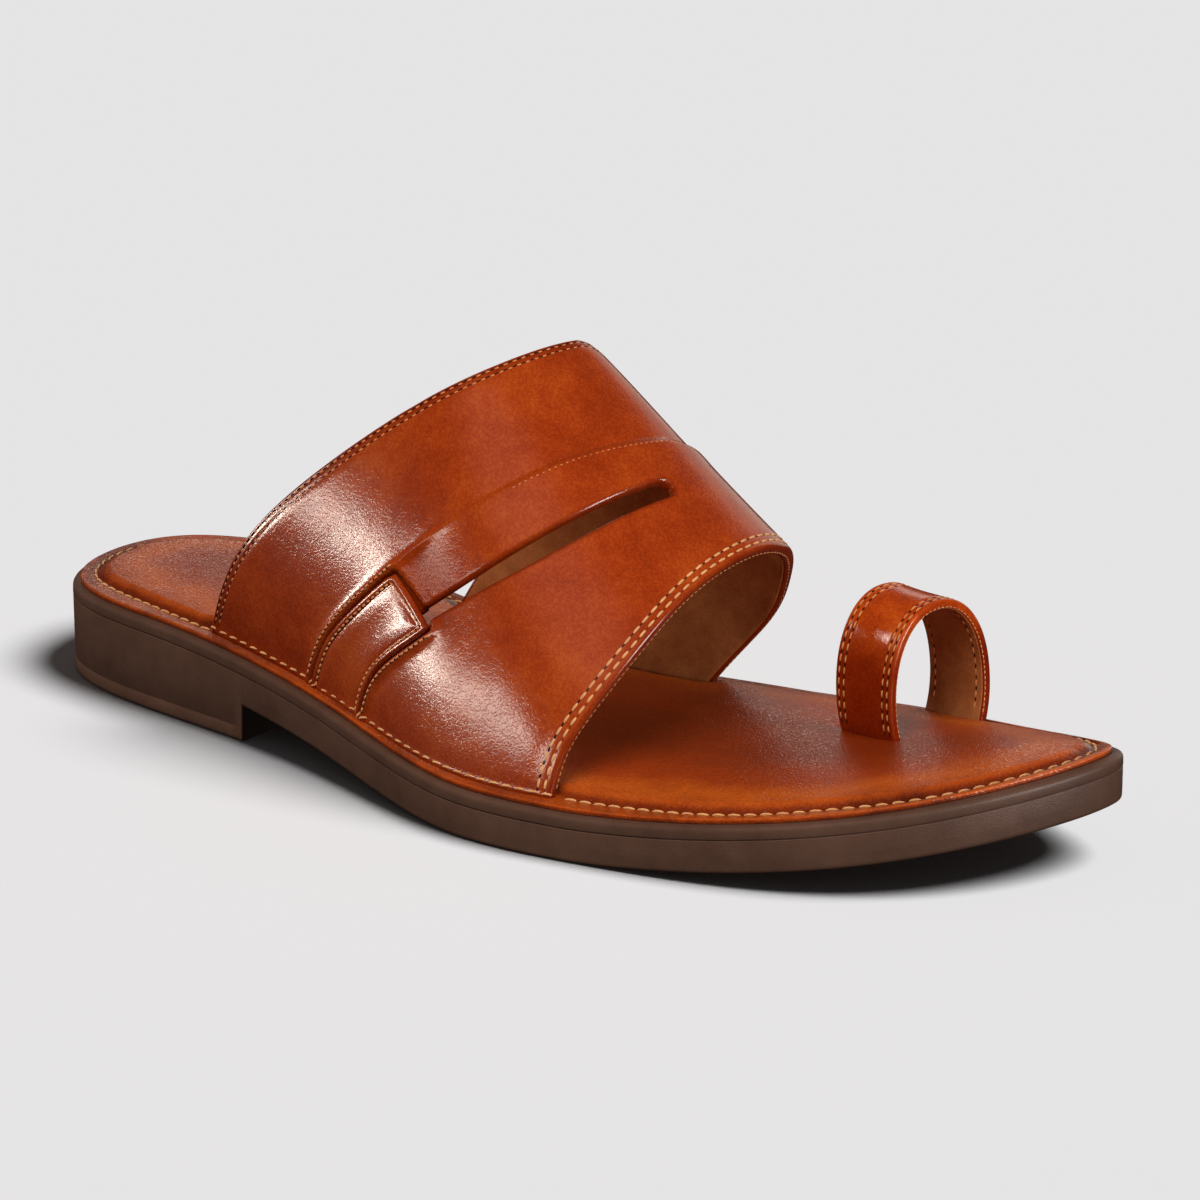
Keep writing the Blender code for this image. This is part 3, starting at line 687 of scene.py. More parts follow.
def tread_face(flat, station):
    """The underside with shallow wavy grooves across the foot, inside a plain margin."""
    level = ground_face(flat[:, 0], station)
    wave = flat[:, 0] + WAVE_HEIGHT * np.sin(flat[:, 1] / WAVE_LENGTH)
    groove = ease((np.cos(2 * np.pi * wave / TREAD_PERIOD) - TREAD_START) / TREAD_RUN)
    from_edge = distance_to(flat, ring_of(EDGE_INSET)[::4], closed=True)
    inside = ease((from_edge - TREAD_INSET) / MARGIN_RUN)
    clear = ease((np.abs(station - BREAST) - BREAST_CLEAR) / CLEAR_RUN)
    waist = ease((np.abs(station - WAIST_MIDDLE) - WAIST_HALF) / WAIST_RUN)
    return level + TREAD_DEPTH * groove * inside * clear * waist


sole_levels = []
for step in SOLE_STEPS:
    base = rubber_top(RING_ALONG) if step.from_top else ground_face(RING_ALONG, RING_ALONG)
    groove = step.heel_groove * (RING_ALONG < BREAST - 2)
    inset = step.inset + groove[:len(ALONG)]
    sole_levels.append((ring_of(inset), base + step.height))
points, faces = slab(sole_levels, SOLE_ACROSS, tread_face, under_footbed)
make_piece("sole_rubber", points, faces, RUBBER, stands_for="outsole")

# %% [markdown]
# ## The footbed
# A board covered in leather: a flat rim that shows its cut edge, a shallow channel for the thread,
# and a pad that rises just inside the stitches. Its height follows from how far a point is inside
# the pad's foot, and its crown grows from heel to toe. Where the toe ring's legs go down, the
# leather is drawn in.

# %% Footbed
Rim = namedtuple("Rim", "along ledge stitch_outer stitch_inner")
RIM = (
    Rim(0.0, 1.8, 5.2, 5.2), Rim(10.0, 1.9, 6.0, 5.8), Rim(22.0, 2.0, 6.6, 6.0),
    Rim(36.0, 2.0, 6.5, 6.0), Rim(50.0, 2.0, 5.8, 6.0), Rim(62.0, 2.0, 5.6, 5.8),
    Rim(120.0, 2.0, 5.6, 5.4), Rim(165.0, 2.0, 6.6, 5.2), Rim(180.0, 2.0, 7.1, 5.0),
    Rim(199.0, 2.0, 6.8, 4.8), Rim(216.0, 2.0, 5.8, 4.6), Rim(230.0, 2.1, 6.0, 4.2),
    Rim(244.0, 2.1, 7.0, 3.8), Rim(258.0, 2.2, 6.5, 3.5), Rim(268.0, 2.35, 6.6, 3.3),
    Rim(276.0, 2.5, 7.2, 3.7), Rim(285.8, 2.6, 7.4, 7.4),
)
CUT_EDGE = ((1.0, 0.0), (0.25, 0.02), (0.08, 0.12), (0.05, 0.45), (0.0, 0.80), (0.02, 1.05))
RIM_CORNER = ((0.14, -0.10), (0.36, 0.02), (0.62, 0.00), (1.1, -0.06))
CHANNEL_DEPTH, CHANNEL_HALF, CHANNEL_OFFSETS = 0.28, 0.75, (-1.0, -0.6, -0.3, 0.0, 0.3, 0.6)
PAD_OFFSET, PAD_RISE, PAD_RUN = 0.9, 1.4, 3.0
CROWN_HEEL, CROWN_TOE, CROWN_RUN = 0.6, 2.4, 26.0
UNDER_BAND, GROOVE_REACH, CUT_EDGE_DARKENING, FOOTBED_ACROSS = 9.4, 1.2, 0.6, 100
BAND_REACH, BAND_LEAD, BAND_RUN = {"outer": (60.0, 178.0), "inner": (90.0, 161.0)}, 6, 8
ON_PAD, ON_TOP, BELOW_RIM, BELOW_RUN = 0.1, -0.6, -0.1, 0.5
STITCH_INSET = {side: read(RIM, "stitch_" + side, ALONG) for side in ("outer", "inner")}


def stitch_ring(offset):
    """A ring round the rim, offset inward from the perimeter thread."""
    return rounded_tip(ring_of(STITCH_INSET["outer"] + offset, STITCH_INSET["inner"] + offset))


def pad_inset(side):
    """How far inside the rubber's edge the pad begins: just past the thread, or past the band."""
    stitch = STITCH_INSET[side]
    start, finish = BAND_REACH[side]
    under_band = (ease((ALONG - start + BAND_LEAD) / BAND_RUN)
                  * ease((finish + BAND_LEAD - ALONG) / BAND_RUN))
    return stitch + PAD_OFFSET + np.maximum(UNDER_BAND - stitch - PAD_OFFSET, 0) * under_band


PAD_LOOP = rounded_tip(ring_of(pad_inset("outer"), pad_inset("inner")))
SLITS = ((221.6, 15.2), (229.0, 41.6))
SLIT_DIP, SLIT_HALF_LENGTH, SLIT_HALF_WIDTH = 0.7, 12, 2.6
RING_YAW = np.radians(-12.5)


def slit_dip(flat):
    """How much the leather is drawn in round the two slits, as a soft oval about each."""
    dip = 0.0
    for along, side in SLITS:
        shift = flat - [along, side]
        across = shift[:, 0] * np.cos(RING_YAW) + shift[:, 1] * np.sin(RING_YAW)
        through = -shift[:, 0] * np.sin(RING_YAW) + shift[:, 1] * np.cos(RING_YAW)
        dip = dip + np.exp(-(across / SLIT_HALF_LENGTH) ** 4 - (through / SLIT_HALF_WIDTH) ** 2)
    return SLIT_DIP * dip


def pad_depth(flat):
    """How far inside the pad's foot: the smaller of the two sides' distances, without a crease."""
    half = len(PAD_LOOP) // 2
    outer = distance_to(flat, PAD_LOOP[:half + 1:2])
    inner = distance_to(flat, PAD_LOOP[half - 1::2])
    softness = np.clip((outer + inner) / 6, 0.05, 3.0)
    least = np.minimum(outer, inner)
    return np.maximum(least - softness * np.log1p(np.exp(-np.abs(outer - inner) / softness)), 0)


def pad_height(flat, station=None):
    """The rim's height plus the pad's quick rise and slow crown, less the slits' dips.

    A cap of a slab is given a station too; the pad needs none.
    """
    depth = pad_depth(flat)
    crown = CROWN_HEEL + (CROWN_TOE - CROWN_HEEL) * ease((flat[:, 0] - LIFT_TOP) / LIFT_END)
    quick = PAD_RISE * np.sin(np.clip(depth / PAD_RUN, 0, 1) * np.pi / 2)
    slow = crown * np.sin(np.clip(depth / CROWN_RUN, 0, 1) * np.pi / 2)
    return rim_top(flat[:, 0]) + quick + slow - slit_dip(flat)


def footbed_levels():
    """Rings from under the rim's cut edge, over its rounded corner and the channel, to the pad.

    The tables give (inset from the ledge, height above the rubber or above the rim's top).
    """
    ledge = read(RIM, "ledge", ALONG)
    bottom, rim = rubber_top(RING_ALONG), rim_top(RING_ALONG)
    levels = [(ring_of(ledge + inset), bottom + height) for inset, height in CUT_EDGE]
    levels += [(ring_of(ledge + inset), rim + height) for inset, height in RIM_CORNER]
    for offset in CHANNEL_OFFSETS:
        drop = CHANNEL_DEPTH * (1 - (offset / CHANNEL_HALF) ** 2 * 0.9)
        ring = stitch_ring(offset)
        levels.append((ring, rim_top(ring[:, 0]) - np.clip(drop, 0.05, None)))
    levels.append((PAD_LOOP, pad_height(PAD_LOOP)))
    return levels


points, faces = slab(footbed_levels(), FOOTBED_ACROSS, under_footbed, pad_height)
above_rim = points[:, 2] - rim_top(points[:, 0])
inside = pad_depth(points[:, :2]) * (above_rim > ON_PAD)
from_pad = distance_to(points[:, :2], PAD_LOOP[::2], closed=True)
# Painted shade round the pad's foot, and a darker colour on the rim's cut edge below its top.
groove = bell(from_pad, GROOVE_REACH) * (above_rim > ON_TOP)
groove += CUT_EDGE_DARKENING * ease((BELOW_RIM - above_rim) / BELOW_RUN)
footbed = make_piece("footbed", points, faces, FOOTBED_LEATHER,
                     stands_for="insole", attributes={"depth": inside, "groove": groove})

# %% [markdown]
# ## Thread
# Hand-sized stitches are what the eye finds first. One stitch is a little bent sausage: its middle
# stands proud and both ends dive into the leather. A whole row is the same sausage set at equal
# steps along a path. Round the rim each is turned a little, so that the row looks sewn.

# %% Stitches and needle holes
STITCH_TURNS = np.array([-0.97, -0.8, -0.45, 0.0, 0.45, 0.8, 0.97])
HOLE_TURNS = (-0.9, -0.6, 0.0, 0.6, 0.9)
LOOK_AHEAD, RING_SIDES, END_REACH = 0.3, 8, 0.03
STITCH_SINK, STITCH_HEIGHT, HOLE_SINK, HOLE_HEIGHT = 0.12, 0.42, 0.01, 0.05


def along_path(path, normals, pitch, start):
    """Centres, directions and normals at equal steps along a path, the first after start steps."""
    length = np.concatenate([[0.0], np.cumsum(np.linalg.norm(np.diff(path, axis=0), axis=1))])
    count = max(int(length[-1] / pitch), 1)
    at = (np.arange(count) + start) * length[-1] / count
    centre, normal = sample(length, path, at), unit(sample(length, normals, at))
    direction = unit(sample(length, path, at + LOOK_AHEAD) - sample(length, path, at - LOOK_AHEAD))
    direction = unit(direction - normal * (direction * normal).sum(-1, keepdims=True))
    return centre, direction, normal


def repeat_rings(centre, direction, normal, shape):
    """One mesh of many small closed forms, each a stack of rings between two end points.

    shape gives each ring's place along the direction, half width, half height and rise.
    """
    side = np.cross(normal, direction)
    angle = np.linspace(0, 2 * np.pi, RING_SIDES, endpoint=False)
    blocks = []
    for place_along, half_width, half_height, rise in shape:
        ring = (centre + direction * place_along + normal * rise)[:, None]
        ring = ring + side[:, None] * (np.cos(angle) * half_width)[None, :, None]
        blocks.append(ring + normal[:, None] * (np.sin(angle) * half_height)[None, :, None])
    first, last = shape[0], shape[-1]
    ends = [(centre + direction * (item[0] + step) + normal * item[3])[:, None]
            for item, step in ((first, -END_REACH), (last, END_REACH))]
    points = np.concatenate(blocks + ends, axis=1)
    each = points.shape[1]
    number = np.arange(len(shape) * RING_SIDES).reshape(-1, RING_SIDES)
    bottom, top = number[0], number[-1]
    low = np.column_stack([np.full(RING_SIDES, each - 2), np.roll(bottom, -1), bottom])
    high = np.column_stack([np.full(RING_SIDES, each - 1), top, np.roll(top, -1)])
    shift = (np.arange(len(centre)) * each)[:, None, None]
    faces = [(group[None] + shift).reshape(-1, group.shape[1])
             for group in (tube_faces(number), low, high)]
    return points.reshape(-1, 3), faces


def join(parts):
    """Several (points, faces) as one."""
    points, faces, total = [], [], 0
    for part_points, part_faces in parts:
        points.append(part_points)
        faces += [group + total for group in part_faces]
        total += len(part_points)
    return np.vstack(points), faces


def stitches(path, normals, pitch, length, width, proud=0.28, slant=0.0):
    """A row of stitches: half a sausage proud of the leather, ends sunk in it."""
    centre, direction, normal = along_path(path, normals, pitch, start=0.5)
    side = np.cross(normal, direction)
    direction = direction * np.cos(slant) + side * np.sin(slant)
    shape = []
    for turn in STITCH_TURNS:
        thin = np.sqrt(1 - turn ** 4)
        rise = proud * (1 - turn ** 2) - STITCH_SINK
        shape.append((turn * length / 2, width / 2 * thin, width * STITCH_HEIGHT * thin, rise))
    return repeat_rings(centre, direction, normal, shape)


def holes(path, normals, pitch, length, width):
    """A row of needle holes: flat dark lenses at the ends of the stitches, painted shade for each
    hole.
    """
    centre, direction, normal = along_path(path, normals, pitch, start=0.0)
    shape = [(turn * length / 2, width / 2 * np.sqrt(1 - turn ** 2), HOLE_HEIGHT, -HOLE_SINK)
             for turn in HOLE_TURNS]
    return repeat_rings(centre, direction, normal, shape)


print("points in a stitch:", len(STITCH_TURNS) * RING_SIDES + 2)

# %% [markdown]
# ## The band
# The band is drawn over the instep like a strip of leather over a last. A point on it has two
# numbers: its place along the foot and `over`, its share of the way over, 0 at the outer foot,
# 0.5 on the crown and 1 at the inner foot. Each cross-section is two cubic curves that rise from
# the foot at a lean and arrive level at the crown.

# %% The band's form
Section = namedtuple("Section", "along crown crown_side foot_lat rise_lat reach_lat lean_lat "
                                "foot_med rise_med reach_med lean_med")
BAND_SECTIONS = (
    Section(60.0, 1.290, 3.7, 5.2, 0.50, 0.61, -12.0, 5.4, 0.54, 0.64, -5.5),
    Section(95.0, 1.190, 7.5, 4.8, 0.44, 0.61, -5.0, 5.4, 0.53, 0.62, -5.5),
    Section(130.0, 1.065, 10.8, 5.2, 0.39, 0.61, 2.0, 5.4, 0.52, 0.61, -5.5),
    Section(165.0, 0.799, 12.3, 6.1, 0.33, 0.60, 8.5, 5.4, 0.51, 0.60, -5.5),
    Section(200.0, 0.507, 13.3, 6.6, 0.28, 0.60, 15.0, 5.4, 0.50, 0.58, -5.5),
)
Line = namedtuple("Line", "over rear ridge slot_rear slot_front front")
BAND_LINES = (
    Line(0.00, 60.9, 96.0, 108.0, 112.0, 177.6), Line(0.08, 72.3, 108.0, 121.0, 125.5, 178.9),
    Line(0.16, 88.9, 122.7, 138.3, 142.0, 182.7), Line(0.26, 111.3, 140.8, 154.8, 159.0, 187.2),
    Line(0.38, 131.6, 155.6, 167.1, 170.8, 190.1), Line(0.50, 140.1, 164.3, 173.4, 176.7, 191.7),
    Line(0.64, 138.3, 165.0, 174.5, 177.7, 190.3), Line(0.80, 122.3, 155.0, 164.0, 167.5, 183.4),
    Line(0.90, 107.4, 144.0, 152.8, 156.4, 176.1), Line(1.00, 90.9, 131.0, 140.0, 143.5, 162.2),
)
TabEdge = namedtuple("TabEdge", "over rear front")
TAB_EDGES = (TabEdge(0.00, 97.0, 115.6), TabEdge(0.05, 102.6, 120.6),
             TabEdge(0.10, 112.7, 131.4), TabEdge(0.15, 123.6, 142.0))
TAB_TOP_REAR, TAB_TOP_FRONT = 0.149, 0.128
SLOT_START, SLOT_END, SLOT_ROUND = 0.119, 0.457, 0.012
WALL, DENT, DENT_REACH = 2.4, 1.2, 13.0
RIDGE_STEP, RIDGE_RUN, LIP_HEIGHT, LIP_PLACE, LIP_REACH = 0.9, 1.6, 0.12, 2.4, 1.7
TROUGH_DEPTH, TROUGH_REACH, UNDER_TAB = 0.75, 0.5, 0.5
STEP_LOW, RELIEF_TOP, RELIEF_RUN, SMALL_OVER, SMALL_ALONG = 0.13, 0.19, 0.03, 0.004, 0.5
WELT_HEIGHT, WELT_PLACE, WELT_REACH, WELT_FOOT, WELT_FOOT_REACH = 0.62, 1.5, 1.0, 0.30, 5.0


def tab_sides(over):
    """Places along the foot of the tab's two long edges, rear and front."""
    return read(TAB_EDGES, "rear", over), read(TAB_EDGES, "front", over)


def tab_top(across):
    """Share over the foot of the tab's slanting top, at a share across it from the rear edge."""
    return TAB_TOP_REAR + (TAB_TOP_FRONT - TAB_TOP_REAR) * across


def band_point(along, over):
    """Point on the form under the band's face: two cubic curves from foot to crown to foot."""
    along, over = np.broadcast_arrays(np.asarray(along, float), np.asarray(over, float))
    shape = along.shape
    along, over = along.ravel(), over.ravel()
    outer = over <= 0.5
    value = {name: read(BAND_SECTIONS, name, along) for name in Section._fields[1:]}
    rise = np.where(outer, value["rise_lat"], value["rise_med"])
    reach = np.where(outer, value["reach_lat"], value["reach_med"])
    lean = np.radians(np.where(outer, value["lean_lat"], value["lean_med"]))
    foot = np.where(outer, outline_side(along, 0.0, True)[:, 1] + value["foot_lat"],
                    outline_side(along, 0.0, False)[:, 1] - value["foot_med"])
    base = rim_top(along) + GAP
    height = value["crown"] * INSTEP_HEIGHT - base
    half = value["crown_side"] - foot
    up = np.where(outer, over, 1 - over) * 2
    down = 1 - up
    side = (down ** 3 * foot + 3 * up * down ** 2 * (foot + np.sign(half) * rise * height *
                                                     np.tan(lean))
            + 3 * up ** 2 * down * (value["crown_side"] - reach * half)
            + up ** 3 * value["crown_side"])
    tall = base + height * (3 * up * down ** 2 * rise + 3 * up ** 2 * down + up ** 3)
    rear, front = tab_sides(over)
    drawn_in = bell(along - (rear + front) / 2, DENT_REACH)
    drawn_in *= 1 - ease((over - TAB_TOP_FRONT) / (SLOT_END - TAB_TOP_FRONT) * 3)
    return np.column_stack([along, side + DENT * drawn_in, tall]).reshape(shape + (3,))


def band_normal(along, over):
    """Outward normal of the band's form, from small steps both ways."""
    low, high = np.clip(over - SMALL_OVER, 0, 1), np.clip(over + SMALL_OVER, 0, 1)
    forward = band_point(along + SMALL_ALONG, over) - band_point(along - SMALL_ALONG, over)
    return unit(np.cross(forward, band_point(along, high) - band_point(along, low)))


def band_face(along, over, lift):
    """The band's form moved outward by lift."""
    along, over = np.broadcast_arrays(along, over)
    return band_point(along, over) + band_normal(along, over) * np.asarray(lift)[..., None]


print("crown of the band at 130 mm:", band_point(130.0, 0.5).round(1), "mm")

# %% [markdown]
# Two reliefs belong to the form itself. The front layer steps up over the rear one, and round the
# keeper tab the leather is pulled down by the tab's seam and bulges beside it.

# %% Step and tab on the form
def ridge_lift(along, over):
    """The front layer lies on the rear one: a step whose rounded lip stands a little higher."""
    past = along - read(BAND_LINES, "ridge", over)
    lip = LIP_HEIGHT * bell(past - LIP_PLACE, LIP_REACH)
    above_tab = ease((over - STEP_LOW) / RELIEF_RUN)
    tab_front = read(TAB_EDGES, "front", np.minimum(over, TAB_TOP_FRONT))
    before_tab = ease((along - tab_front + 1) / 2)
    return (RIDGE_STEP * ease(past / RIDGE_RUN) + lip) * np.maximum(above_tab, before_tab)


def tab_border(rows=160):
    """The tab's two long edges and its slanting top on the band's form, as one line of points."""
    up = np.linspace(0, 1, rows)
    rear = band_point(read(TAB_EDGES, "rear", up * TAB_TOP_REAR), up * TAB_TOP_REAR)
    front = band_point(read(TAB_EDGES, "front", up * TAB_TOP_FRONT), up * TAB_TOP_FRONT)
    across = np.linspace(0, 1, 40)[1:-1]
    start, finish = read(TAB_EDGES, "rear", TAB_TOP_REAR), read(TAB_EDGES, "front", TAB_TOP_FRONT)
    top = band_point(start + (finish - start) * across, tab_top(across))
    return np.vstack([rear, top, front[::-1]])


TAB_BORDER = tab_border()
print("points round the tab:", len(TAB_BORDER))


def tab_relief(points, along, over):
    """Round the tab the band sinks in a narrow trough and swells in a soft welt beyond it."""
    away = distance_to(points, TAB_BORDER)
    rear, front = tab_sides(over)
    covered = (along > rear) & (along < front) & (over < tab_top((along - rear) / (front - rear)))
    away = np.where(covered, 0.0, away)
    trough = -TROUGH_DEPTH * bell(away, TROUGH_REACH)
    welt = (WELT_HEIGHT * bell(away - WELT_PLACE, WELT_REACH)
            + WELT_FOOT * bell(away, WELT_FOOT_REACH))
    relief = np.where(covered, -UNDER_TAB, trough + welt * (away > 0))
    return relief * ease((RELIEF_TOP - over) / RELIEF_RUN)


# %% [markdown]
# The leather's grid has a row for each share of the way over and columns that crowd together at
# the edges and beside the tab, so that edges can be rolled and seams can sink. Every relief is a
# lift square to the form, worked out from the real distance to a border or to a seam.

# %% Grid of the band
EDGE_STEPS = np.array([0.0, 0.06, 0.18, 0.36, 0.6, 0.9, 1.3, 1.8, 2.3, 2.9, 3.6])
TROUGH_STEPS = (-3.9, -3.0, -2.3, -1.8, -1.35, -0.95, -0.6, -0.3, 0.0, 0.3, 0.65, 1.0, 1.4, 1.9,
                2.6, 3.6)
STEP_MARGIN, STEP_FREE, STEP_FREE_RUN, SLOT_FREE, SLOT_FREE_RUN = 5.0, 0.12, 0.04, 0.095, 0.03


def band_rows():
    """Shares over the foot, evenly spaced and crowded at the slot's end and at both feet."""
    even = np.linspace(0, 1, 231)
    slot = np.concatenate([SLOT_END - SLOT_ROUND * (1 - np.cos(np.linspace(0, np.pi / 2, 9))),
                           SLOT_END + np.array([0.0015, 0.003, 0.005, 0.008])])
    even = even[(np.abs(even - SLOT_END + 0.004) > 0.014) & (np.abs(even - SLOT_START) > 0.003)]
    feet = np.array([0.0015, 0.004, 0.007, 0.0105])
    return np.unique(np.concatenate([even, slot, feet, 1 - feet, [SLOT_START, SLOT_END]]))


def slot_lines(over):
    """The slot's two edges: they close to a round end, and stay a little apart past it."""
    rear, front = read(BAND_LINES, "slot_rear", over), read(BAND_LINES, "slot_front", over)
    from_end = np.clip((over - SLOT_END + SLOT_ROUND) / SLOT_ROUND, 0, 1)
    half = np.sqrt(np.clip(1 - from_end ** 2, 0.1, 1)) / 2
    middle = (rear + front) / 2
    return middle - (front - rear) * half, middle + (front - rear) * half


def stretch_factor(column, over):
    """How much longer a step along the foot is than a step square to a line over the band."""
    line = band_point(column, over)
    tangent = unit(np.gradient(line, axis=0))
    step = band_point(column + SMALL_ALONG, over) - band_point(column - SMALL_ALONG, over)
    square = step - tangent * (step * tangent).sum(-1, keepdims=True)
    return 1 / np.maximum(np.linalg.norm(square, axis=-1), 0.3)


def spread(start, finish, count):
    """Columns evenly spread from one to another, without the first."""
    return [start + share * (finish - start) for share in np.linspace(0, 1, count)[1:]]


def band_columns(over):
    """Places along the foot of every column, and the number of the slot's cell.

    Low down, the columns of the step and of the slot run beside the tab's two edges instead.
    """
    rear, front = read(BAND_LINES, "rear", over), read(BAND_LINES, "front", over)
    tab_rear, tab_front = tab_sides(over)
    ridge = read(BAND_LINES, "ridge", over)
    ridge = ridge + (tab_rear - ridge) * (1 - ease((over - STEP_FREE) / STEP_FREE_RUN))
    slot_rear, slot_front = slot_lines(over)
    shift = (tab_front - slot_front) * (1 - ease((over - SLOT_FREE) / SLOT_FREE_RUN))
    slot_rear, slot_front = slot_rear + shift, slot_front + shift
    rear_step, front_step, slot_step = (stretch_factor(line, over)
                                        for line in (rear, front, slot_rear))
    columns = [rear + step * rear_step for step in EDGE_STEPS]
    columns += spread(columns[-1], ridge - STEP_MARGIN, 20)
    columns += [ridge + step for step in TROUGH_STEPS]
    columns += spread(columns[-1], slot_rear - EDGE_STEPS[-1] * slot_step, 5)
    columns += [slot_rear - step * slot_step for step in EDGE_STEPS[-2::-1]]
    slot_cell = len(columns) - 1
    columns += [slot_front + step * slot_step for step in (*EDGE_STEPS, 4.4, 5.4)]
    columns += spread(columns[-1], front - EDGE_STEPS[-1] * front_step, 16)
    columns += [front - step * front_step for step in EDGE_STEPS[-2::-1]]
    return np.column_stack(columns), slot_cell


OVER_ROWS = band_rows()
BAND_ALONG, SLOT_CELL = band_columns(OVER_ROWS)
BAND_OVER = np.broadcast_to(OVER_ROWS[:, None], BAND_ALONG.shape)
BAND_KEPT = np.ones((BAND_ALONG.shape[0] - 1, BAND_ALONG.shape[1] - 1), bool)
slot_first, slot_last = np.searchsorted(OVER_ROWS, [SLOT_START, SLOT_END])
BAND_KEPT[slot_first:slot_last, SLOT_CELL] = False
slot_rows = OVER_ROWS[slot_first:slot_last + 1]
slot_rear, slot_front = (band_point(BAND_ALONG[slot_first:slot_last + 1, SLOT_CELL + side],
                                    slot_rows) for side in (0, 1))
Border = namedtuple("Border", "points closed radius dye dye_reach")
BORDERS = {
    "rear": Border(band_point(BAND_ALONG[:, 0], OVER_ROWS), False, 0.5, 0.55, 2.3),
    "front": Border(band_point(BAND_ALONG[:, -1], OVER_ROWS), False, 0.95, 0.5, 1.0),
    "slot": Border(np.vstack([slot_rear, slot_front[::-1]]), True, 1.0, 0.5, 1.0),
}
print("band grid:", BAND_ALONG.shape, "slot cell", SLOT_CELL)

# %% [markdown]
# A sewn edge is never flat: thread pulls it down along each seam, the leather between two seams
# stands up, and the border rolls over. Creases are few and placed where the strap bends:
# behind the tab, along the step, and beside the slot's inner end.

# %% Relief of the band
REAR_SEAMS, FRONT_SEAMS, REAR_SHOULDER, FRONT_SHOULDER = (0.95, 2.4), (2.0, 3.7), 0.35, 0.15
SEAM_DIP, SEAM_HALF, SHOULDER = 0.16, 0.42, 3.6
FOOT_FLARE, FLARE_REACH, FOOT_SINK = 0.18, 0.009, 0.45
DIP_DEPTH, DIP_TOP, DIP_REACH = 1.2, 0.12, 0.085
Crease = namedtuple("Crease", "along over reach_along reach_over depth")
CREASES = (
    Crease(133.0, 0.215, 1.6, 0.030, 0.22), Crease(137.5, 0.205, 1.3, 0.026, 0.18),
    Crease(142.0, 0.215, 1.5, 0.022, 0.16), Crease(128.5, 0.170, 1.4, 0.020, 0.20),
    Crease(118.0, 0.300, 2.2, 0.055, 0.14), Crease(150.0, 0.150, 3.0, 0.030, 0.12),
    Crease(163.0, 0.520, 1.8, 0.050, 0.12), Crease(158.0, 0.130, 2.4, 0.035, -0.14),
)


def edge_roll(distance, radius):
    """How far a face has curved away at a distance from the border: a quarter circle."""
    inside = radius - np.clip(distance, 0, radius)
    return radius - np.sqrt(np.maximum(radius ** 2 - inside ** 2, 0))


def sewn_edge(distance, rows, shoulder):
    """Relief of a turned and sewn edge: a slope to the border and a dip under each seam."""
    slope = -shoulder * np.clip(1 - distance / SHOULDER, 0, 1) ** 2
    return slope - SEAM_DIP * sum(bell(distance - row, SEAM_HALF) for row in rows)


def foot_flare(over):
    """Close to the rim the band turns outward, to lie under the perimeter thread."""
    near = np.clip(1 - np.minimum(over, 1 - over) / FLARE_REACH, 0, 1)
    return FOOT_FLARE * near ** 2


def band_lift(form, along, over):
    """All relief of the band's outer face above its form, without the rolled borders."""
    lift = ridge_lift(along, over) + foot_flare(over) + tab_relief(form, along, over)
    for name, rows, shoulder in (("rear", REAR_SEAMS, REAR_SHOULDER),
                                 ("front", FRONT_SEAMS, FRONT_SHOULDER)):
        distance = distance_to(form, BORDERS[name].points)
        lift = lift + sewn_edge(distance, rows, shoulder)
    for crease in CREASES:
        lift = lift - crease.depth * np.exp(-((along - crease.along) / crease.reach_along) ** 2
                                            - ((over - crease.over) / crease.reach_over) ** 2)
    return lift


def strap_dip(along, over):
    """The strap between step and slot goes down under the tab, as if pulled in by its seam."""
    past = along - read(BAND_LINES, "ridge", over)
    behind_slot = along < (read(BAND_LINES, "slot_rear", over)
                           + read(BAND_LINES, "slot_front", over)) / 2
    near_tab = bell(np.maximum(over, DIP_TOP) - DIP_TOP, DIP_REACH)
    return -DIP_DEPTH * ease((past - 0.5) / 2.5) * near_tab * behind_slot


def sink_feet(face, over):
    """The rows at both feet go down into the rim."""
    face = face.copy()
    at_foot = (over <= 0) | (over >= 1)
    face[..., 2] = np.where(at_foot, rim_top(face[..., 0]) - FOOT_SINK, face[..., 2])
    return face


print("creases:", len(CREASES), "seams:", len(REAR_SEAMS + FRONT_SEAMS))

# %% [markdown]
# The band is a wall between two such faces. Its dye has gathered along the edges, and shade is
# painted in low down at both feet, where the band meets the rim. The strap between step and slot,
# where it goes down under the tab, gets a mask of its own: no brush polished it.

# %% Band leather
FOOT_SHADE, FOOT_SHADE_OVER, MOST_DYE_AND_SHADE = 0.35, 0.03, 0.8
UNPOLISHED, UNPOLISHED_TOP, UNPOLISHED_RUN = 0.85, 0.25, 0.09
form = band_point(BAND_ALONG, BAND_OVER)
TO_BORDER = {name: distance_to(form, border.points, border.closed)
             for name, border in BORDERS.items()}
roll = np.maximum.reduce([edge_roll(TO_BORDER[name], border.radius)
                          for name, border in BORDERS.items()])
surface = band_lift(form, BAND_ALONG, BAND_OVER) + strap_dip(BAND_ALONG, BAND_OVER)
outer = sink_feet(band_face(BAND_ALONG, BAND_OVER, surface - roll), BAND_OVER)
inner = sink_feet(band_face(BAND_ALONG, BAND_OVER, roll - WALL), BAND_OVER)
points, faces, used = wall(outer, inner, BAND_KEPT)
burnish = sum(border.dye * bell(TO_BORDER[name], border.dye_reach, 4)
              for name, border in BORDERS.items())
